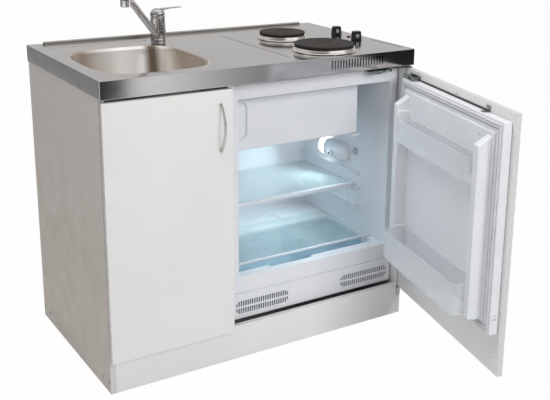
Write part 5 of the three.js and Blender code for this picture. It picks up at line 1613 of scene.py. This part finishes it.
def ring_of(name, inset, width, y):
    """A frame that starts an inset inside the seal's outer edge."""
    inner = inset + width
    outer = block(name, inward(GX, inset), y, inward(GZ, inset))
    return cut(outer, block("inside", inward(GX, inner), inward(y, -5), inward(GZ, inner)))


seal = ring_of("seal", 0, 14, (DY + 0.3, DY + 2.4))
weld(seal, ring_of("fold", 1.2, 4.6, (DY + 2, DY + 4.6)), ring_of("fold", 8.0, 4.6, (DY + 2, DY + 4.6)))
wear(seal, gasket_rubber)
on_leaf(soften(seal, 0.9, 3), "door_gasket")

# %% [markdown]
# Both bins are clear mouldings with rounded front corners. One block is rounded and
# its inside is a smaller one cut out. The upper bin has a fine line under its rim.

# %% Bins
BIN_WALL = 2.5


def bin_piece(name, y1, z0, z1, rim_line):
    x0, x1, y0 = -39.7, 404.7, DY + 5.3
    outer = block(name, (x0, x1), (y0, y1), (z0, z1))
    round_edges(outer, lambda c, d: abs(d.z) > 0.9 and c.y > y1 - 1, 15, 6)
    round_edges(outer, lambda c, d: c.z < z0 + 0.5, 3, 3)
    inner = block("inside", inward((x0, x1), BIN_WALL), inward((y0, y1), BIN_WALL), (z0 + BIN_WALL, z1 + 20))
    round_edges(inner, lambda c, d: abs(d.z) > 0.9 and c.y > y1 - 4, 12.8, 6)
    cut(outer, inner)
    if rim_line:
        cut(outer, block("rim line", (x0 - 5, x1 + 5), (y1 - 0.7, y1 + 2), (z1 - 9, z1 - 7.6)))
    wear(outer, clear_plastic)
    return soften(outer, 0.5, 2)


on_leaf(bin_piece("upper door bin", 68, 620, 690, True), "bin_upper")
on_leaf(bin_piece("lower door bin", 95, 252, 345, False), "bin_lower")

# %% [markdown]
# A small steel angle carries the furniture board on the door, with a screw. More
# screws sit in the board's back and in the door liner's corners. Plugs close the
# vents in the door's edge, and a black strip in the gap along its top is painted shade.

# %% Angle and screws on the leaf
angle = weld(block("panel angle", (1, 19), (-9.7, 10), (798.3, 800)),
             block("leg", (1, 19), (-9.7, -7.9), (798.3, 814)))
cut(angle, rod("slot", (10, 3, 790), (10, 3, 805), 3.1, 24))
wear(angle, hinge_steel)
on_leaf(soften(angle, 0.4, 2), "panel_bracket")
leaf_screws = [screw((10, -7.4, 808), "Y", 3.0)]
leaf_screws += [screw(place, "Y", 2.4) for place in (
    (-115, -9.6, 282), (-84, -9.6, 138), (440, -9.6, 138),
    (446, DY + 0.2, 771), (-4, DY + 5.2, 744), (446, DY + 0.2, 236))]
on_leaf(gather("leaf screws", leaf_screws))
PLUG_PLACES = ((2, 262, 2.6), (2, 272, 1.6), (11, 270, 1.2), (11, 262, 1.2), (11, 254, 1.2))
plugs = [turned("vent plug", [(0, -0.3), (r, -0.3), (r, 0.4), (r * 0.7, 0.8), (0, 0.8)],
                (-108, y, z), "-X", 16) for y, z, r in PLUG_PLACES]
for plug in plugs:
    wear(plug, cap_grey)
on_leaf(gather("leaf vent plugs", plugs))
# Painted shade: a black strip set in the rebate darkens the gap along the top.
painted_shade_strip = block("painted shade strip in top gap", (21, 391.5), (-9.9, -6.2), (793.4, 802.5))
wear(painted_shade_strip, black_plastic)
on_leaf(soften(painted_shade_strip, 0.4, 1))
cam_cap = turned("cam cap", [(0, -0.3), (7.5, -0.3), (7.5, 0.5), (7, 0.9), (2.5, 0.9), (2, 0.4), (0, 0.4)],
                 (180, -9.9, 808), "Y", 32)
wear(cam_cap, edge_band)
on_leaf(cam_cap)

# %% [markdown]
# At the hinge end of the door's top sits the box of the leaf's hinge: a folded steel
# channel with an oval slot, and inside it a dark link bar held by three screws.

# %% Hinge box on the door
channel = block("hinge box", (398, 468), (-9.4, 15.6), (798.2, 811.5))
cut(channel, block("channel", (400, 474), (-7.6, 13.8), (800, 815)),
    rounded("slot", (418, 436), (5, 20), (802.5, 807.5), 2.2, 4, "Y"))
link_bar = rounded("hinge link", (403, 466), (-4.5, 6), (800.2, 807), 2, 3, "Z")
wear(channel, hinge_steel)
wear(link_bar, black_steel)
on_leaf(gather("hinge box", [soften(channel, 0.5, 2), soften(link_bar, 0.5, 2)]))
box_screws = [screw((x, 1, 806.9), "Z", 3.4) for x in (414, 434, 454)]
on_leaf(gather("hinge box screws", box_screws))

# %% [markdown]
# ## Hinges of the leaf and the light inside
# The upper hinge is a pressed plate, bolted to the refrigerator and hooked round
# the side board, with the pivot pin hanging from its nose. Its outline is drawn as
# a plane that is shaped vertex by vertex, extruded, and drilled for its bolts.

# %% Leaf hinges
def plate_piece(name, outline, z0, z1):
    """A flat plate between two heights, with corners at the places of its outline."""
    nothing_selected()
    bpy.ops.mesh.primitive_circle_add(vertices=len(outline), radius=1, fill_type="NGON", location=(0, 0, 0))
    piece = settle(name)
    for vert, (x, y) in zip(piece.data.vertices, outline):
        vert.co = (x * MM, y * MM, z0 * MM)
    pick_all(piece)
    extrude(z1 - z0)
    bpy.ops.mesh.select_all(action="SELECT")
    bpy.ops.mesh.normals_make_consistent(inside=False)
    leave_edit()
    return piece


HOOK_BACK = 62
upper_hinge = plate_piece("upper leaf hinge", [
    (432.5, HOOK_BACK), (432.5, -14.5), (478.5, -25.5), (494, -25.5), (497.5, -22), (497.5, -8.3),
    (481.7, -8.3), (474, -4), (474, HOOK_BACK)], 823, 826)
lug = rounded("hinge lug", (434.5, 474), (28, 60), (818.3, 824), 2, 2, "Z")
weld(upper_hinge, lug, rod("pin", (PIVOT_X, PIVOT_Y, 808), (PIVOT_X, PIVOT_Y, 824), 3, 32))
for x, y in ((446, 44), (463, 44)):
    cut(upper_hinge, rod("bolt hole", (x, y, 824.4), (x, y, 830), 3.4, 24))
wear(upper_hinge, hinge_steel)
fit(soften(upper_hinge, 0.5, 2), "cabinet", "fridge_hinge_upper")
carrier = weld(block("hinge carrier", (345, 432), (-7, 58), (818.2, 820)),
               block("flange", (345, 432), (-7.2, -5.4), (812.4, 820)),
               block("low flange", (345, 395), (-7.2, -5.4), (809.5, 815)),
               rounded("boss", (352, 372), (-7, 10), (813, 819), 2.5, 3, "Y"))
cut(carrier, *(rounded("slot", x, (-12, 0), (813.6, 817.6), 1.9, 4, "Y") for x in ((378, 398), (405, 425))))
wear(carrier, hinge_steel)
fit(soften(carrier, 0.4, 2), "cabinet")
carrier_screws = [screw((x, -7.3, 814.6), "-Y", 2.6) for x in (351.5, 371)]
fit(gather("carrier screws", carrier_screws), "cabinet")
lower_hinge = weld(block("lower leaf hinge", (483, 497), (-25.5, -8.3), (94, 97)),
                   block("flange", (483, 497), (-10.3, -8.3), (62, 97)),
                   rod("pin", (PIVOT_X, PIVOT_Y, 96), (PIVOT_X, PIVOT_Y, 112), 3, 32))
wear(lower_hinge, hinge_steel)
fit(soften(lower_hinge, 0.5, 2), "cabinet", "fridge_hinge_lower")
hinge_screws = [screw((490, -10.6, z), "-Y", 3.0) for z in (70, 84)]
fit(gather("hinge screws", hinge_screws), "cabinet")

# %% [markdown]
# The lamp behind the glowing lens throws a cool light on the liner. One small area
# lamp stands just off the lens and faces the other wall. A second, weaker one low
# down stands for the light that the bright walls send into the bottom.

# %% Cool light inside
lamp("inside lamp", (0.395, 0.352, 0.492), (-0.083, 0.20, 0.36), 0.09, 0.84, (0.71, 0.91, 0.97))
lamp("low inside lamp", (0.20, 0.22, 0.36), (0.16, 0.18, 0.20), 0.2, 0.24, (0.70, 0.91, 0.98))
print("lit inside")
